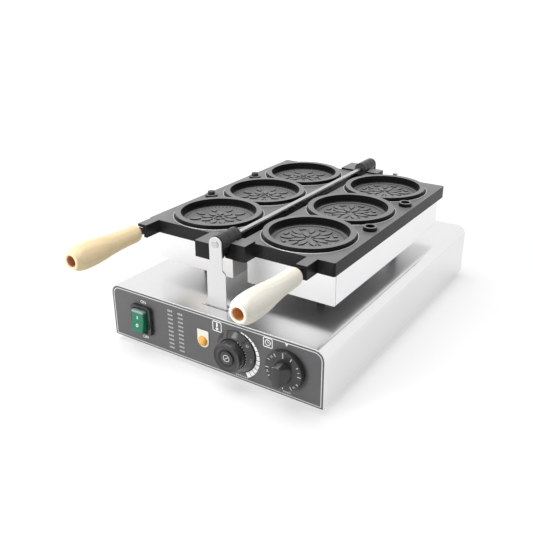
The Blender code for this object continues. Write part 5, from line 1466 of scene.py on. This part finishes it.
class WAFFLE_OT_timer_knob(bpy.types.Operator):
    """Finish the timer knob and its dial"""
    bl_idname = "waffle.timer_knob"
    bl_label = "Timer knob"

    def execute(self, context):
        body = "timer_control"
        ink = print_ink("dial_print", 0.7)
        piece("timer_knob_moulded", self.knob, black_plastic(), body, replaces=("timer_knob",), angle=24)
        piece("timer_dial", self.dial, ink, body, slot="label_white")
        # A painted highlight along the grip's upper front edge
        piece("timer_grip_line", self.worn_edge, ink, body, slot="label_white")
        dress(bright(), "timer_shaft")
        return {"FINISHED"}

    def knob(self, shape):
        """Flat skirt with a rounded edge, and a bar grip that narrows from a broad foot."""
        radius, front = width_of("timer_knob") / 2, TIMER_SKIRT_FRONT
        profile = [(0.0, front), (0.0256, front), (0.0262, front - 0.0001), (0.0268, front - 0.0007),
                   (0.0270, front - 0.0014), (radius - 0.0002, 0.0014), (radius - 0.0006, SKIRT_START),
                   (0.0, SKIRT_START)]
        revolve_out(shape, profile, TIMER_AXIS)
        end, edge = PANEL_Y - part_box("timer_knob")[0].y, TIMER_GRIP_EDGE
        loft(shape, [self.grip_loop(height, inset, end) for height, inset in (
            (TIMER_GRIP_START, 0.0), (end - edge, 0.0), (end - edge * 0.3, edge * 0.3), (end, edge))])

    def grip_loop(self, height, inset, end):
        """Outline of the grip at a height: an oval at its foot, almost a rectangle at its front."""
        share = (height - TIMER_GRIP_START) / (end - TIMER_GRIP_START)
        bend = 1.0 - TIMER_GRIP_SQUARENESS * share
        wide, tall = [(foot + (front - foot) * share) / 2 - inset
                      for foot, front in zip(TIMER_GRIP_FOOT, TIMER_GRIP_FRONT)]
        return [on_panel((TIMER_AXIS.x + math.copysign(abs(x) ** bend, x) * wide,
                          TIMER_AXIS.z + math.copysign(abs(z) ** bend, z) * tall), height)
                for x, z in circle((0, 0), 1.0, ROUND)]

    def dial(self, shape):
        """Long pointer line, ticks and numbers on the skirt."""
        front = TIMER_SKIRT_FRONT + FILM / 2
        ticks = [(0, 0.0228, 0.0076)]
        ticks += [(30 * hour, 0.0238, 0.0030) if hour % 2 == 0 else (30 * hour, 0.0232, 0.0046)
                  for hour in range(1, 12)]
        for turn, radius, tall in ticks:
            prism(shape, bar_outline((0, 0), TICK_WIDTH, tall),
                  by_matrix(skirt_place(TIMER_AXIS, turn, radius, front)))
        for value, turn in TIMER_NUMBERS.items():
            place = skirt_place(TIMER_AXIS, turn, TIMER_NUMBER_RADIUS, front)
            words(shape, str(value), TIMER_NUMBER_HEIGHT, place)

    def worn_edge(self, shape):
        """Painted highlight: a bright line along the upper edge of the grip's front."""
        front = PANEL_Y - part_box("timer_knob")[0].y
        place = (TIMER_AXIS.x - 0.0004, TIMER_AXIS.z + 0.0137)
        prism(shape, bar_outline(place, 0.0088, 0.0009), on_panel, front - FILM, front)


# Inner parts


class WAFFLE_OT_inner_parts(bpy.types.Operator):
    """Finish what the housing hides"""
    bl_idname = "waffle.inner_parts"
    bl_label = "Inner parts"

    def execute(self, context):
        dress(black_plastic(), "lamp_body", "thermostat_body", "timer_body")
        dress(plain("ceramic"), "terminal_block")
        return {"FINISHED"}


# Studio, with each lamp's place and size

LAMPS = {"key": ((-0.45, -0.15, 1.9), 1.8), "front": ((-1.0, -2.0, 0.42), 0.8)}
LAMP_AIM = Vector((0, 0, 0.1))
FLOOR_RADIUS = 12.0
FLOOR_GAP = 0.0002


class WAFFLE_OT_studio(bpy.types.Operator):
    """Set up the floor, the light and the photograph's camera"""
    bl_idname = "waffle.studio"
    bl_label = "Studio"

    def execute(self, context):
        look = looks().studio
        self.floor(look)
        self.world(look)
        self.lamps(look)
        self.camera(look)
        context.scene.view_settings.view_transform = "Standard"
        return {"FINISHED"}

    def show(self, name, data):
        """Put a new object in the scene."""
        obj = bpy.data.objects.new(name, data)
        bpy.context.scene.collection.objects.link(obj)
        return obj

    def seen(self, tree, direct, mirrored):
        """A strength for the camera, another for gloss and clear plastic, and zero for soft light."""
        path = tree.add("ShaderNodeLightPath").outputs
        either = tree.math("MAXIMUM", path["Is Glossy Ray"], path["Is Transmission Ray"])
        return tree.plus(tree.times(path["Is Camera Ray"], direct), tree.times(either, mirrored))

    def floor(self, look):
        """Pale floor that shows white and keeps the shadow; toward the front gloss mirrors it darker."""
        mesh = bpy.data.meshes.new("floor")
        shape = bmesh.new()
        bmesh.ops.create_circle(shape, cap_ends=True, radius=FLOOR_RADIUS, segments=64)
        shape.to_mesh(mesh)
        shape.free()
        floor = self.show("floor", mesh)
        floor.location = (0, 0, -FLOOR_GAP)
        material, tree, shader = new_finish("floor_paper")
        place = tree.place()
        far = tree.add("ShaderNodeVectorMath", {0: place}, operation="LENGTH").outputs["Value"]
        white = tree.between(far, 0.5, 2.4, 0.42, 0.78)
        held = tree.between(tree.split(place)["Y"], -1.1, -0.3, 0.36, 0.07)
        paper = tree.noise(place, 300.0)
        tree.feed(shader, {
            "Base Color": tree.mix(paper, shade_of(look.floor, 0.99), shade_of(look.floor, 1.01)),
            "Roughness": 1.0,
            "Specular IOR Level": 0.0,
            "Emission Color": WHITE,
            "Emission Strength": self.seen(tree, white, tree.math("SUBTRACT", white, held)),
        })
        mesh.materials.append(material)

    def world(self, look):
        """White surroundings for the eye and for gloss, softer as light."""
        world = bpy.data.worlds.new("studio")
        world.use_nodes = True
        bpy.context.scene.world = world
        tree = Tree(world.node_tree)
        strength = tree.math("MAXIMUM", self.seen(tree, 1.0, 1.0), look.ambient)
        tree.feed(world.node_tree.nodes["Background"], {"Color": WHITE, "Strength": strength})

    def lamps(self, look):
        """A large soft light overhead, and one in front that gloss doesn't mirror."""
        for name, (place, size) in LAMPS.items():
            lamp = bpy.data.lights.new(name, "AREA")
            lamp.energy = getattr(look, name)
            lamp.shape = "SQUARE"
            lamp.size = size
            obj = self.show(name, lamp)
            obj.location = place
            obj.visible_glossy = name == "key"
            obj.rotation_euler = (LAMP_AIM - Vector(place)).to_track_quat("-Z", "Y").to_euler()

    def camera(self, look):
        """The photograph's own viewpoint."""
        data = bpy.data.cameras.new("camera")
        data.sensor_width = SENSOR_WIDTH
        data.lens = look.lens * 1000
        data.clip_start = 0.01
        obj = self.show("camera", data)
        obj.location = CAMERA_PLACE
        obj.rotation_euler = [math.radians(angle) for angle in CAMERA_TURN]
        bpy.context.scene.camera = obj


# Sidebar and start


class WAFFLE_PT_sidebar(bpy.types.Panel):
    """Lists the steps that dress the waffle maker"""
    bl_idname = "WAFFLE_PT_sidebar"
    bl_label = "Waffle maker"
    bl_space_type = "VIEW_3D"
    bl_region_type = "UI"
    bl_category = "Waffle maker"

    def draw(self, context):
        for step in STEPS:
            self.layout.operator(step.bl_idname)
        for part in WaffleLooks.__annotations__:
            values = getattr(looks(), part)
            box = self.layout.box()
            box.label(text=part.capitalize())
            for name in values.__annotations__:
                box.prop(values, name)


STEPS = (WAFFLE_OT_housing, WAFFLE_OT_hinge, WAFFLE_OT_covers, WAFFLE_OT_castings, WAFFLE_OT_ornament,
         WAFFLE_OT_handles, WAFFLE_OT_panel, WAFFLE_OT_switch, WAFFLE_OT_lamp, WAFFLE_OT_temperature_knob,
         WAFFLE_OT_timer_knob, WAFFLE_OT_inner_parts, WAFFLE_OT_studio)
CLASSES = (SteelLook, CastingLook, OrnamentLook, WoodLook, PanelLook, ControlLook, StudioLook, WaffleLooks,
           *STEPS, WAFFLE_PT_sidebar)


def register():
    """Add the classes and the values to Blender."""
    for each in CLASSES:
        bpy.utils.register_class(each)
    bpy.types.Scene.waffle_looks = bpy.props.PointerProperty(type=WaffleLooks)


def unregister():
    """Take the classes and the values out of Blender."""
    del bpy.types.Scene.waffle_looks
    for each in reversed(CLASSES):
        bpy.utils.unregister_class(each)


def main():
    """Dress the part and set up the studio."""
    register()
    for obj in [o for o in bpy.data.objects if o.name in ("Cube", "Light", "Camera")]:
        bpy.data.objects.remove(obj)
    for step in STEPS:
        family, name = step.bl_idname.split(".")
        getattr(getattr(bpy.ops, family), name)()


if __name__ == "__main__":
    main()
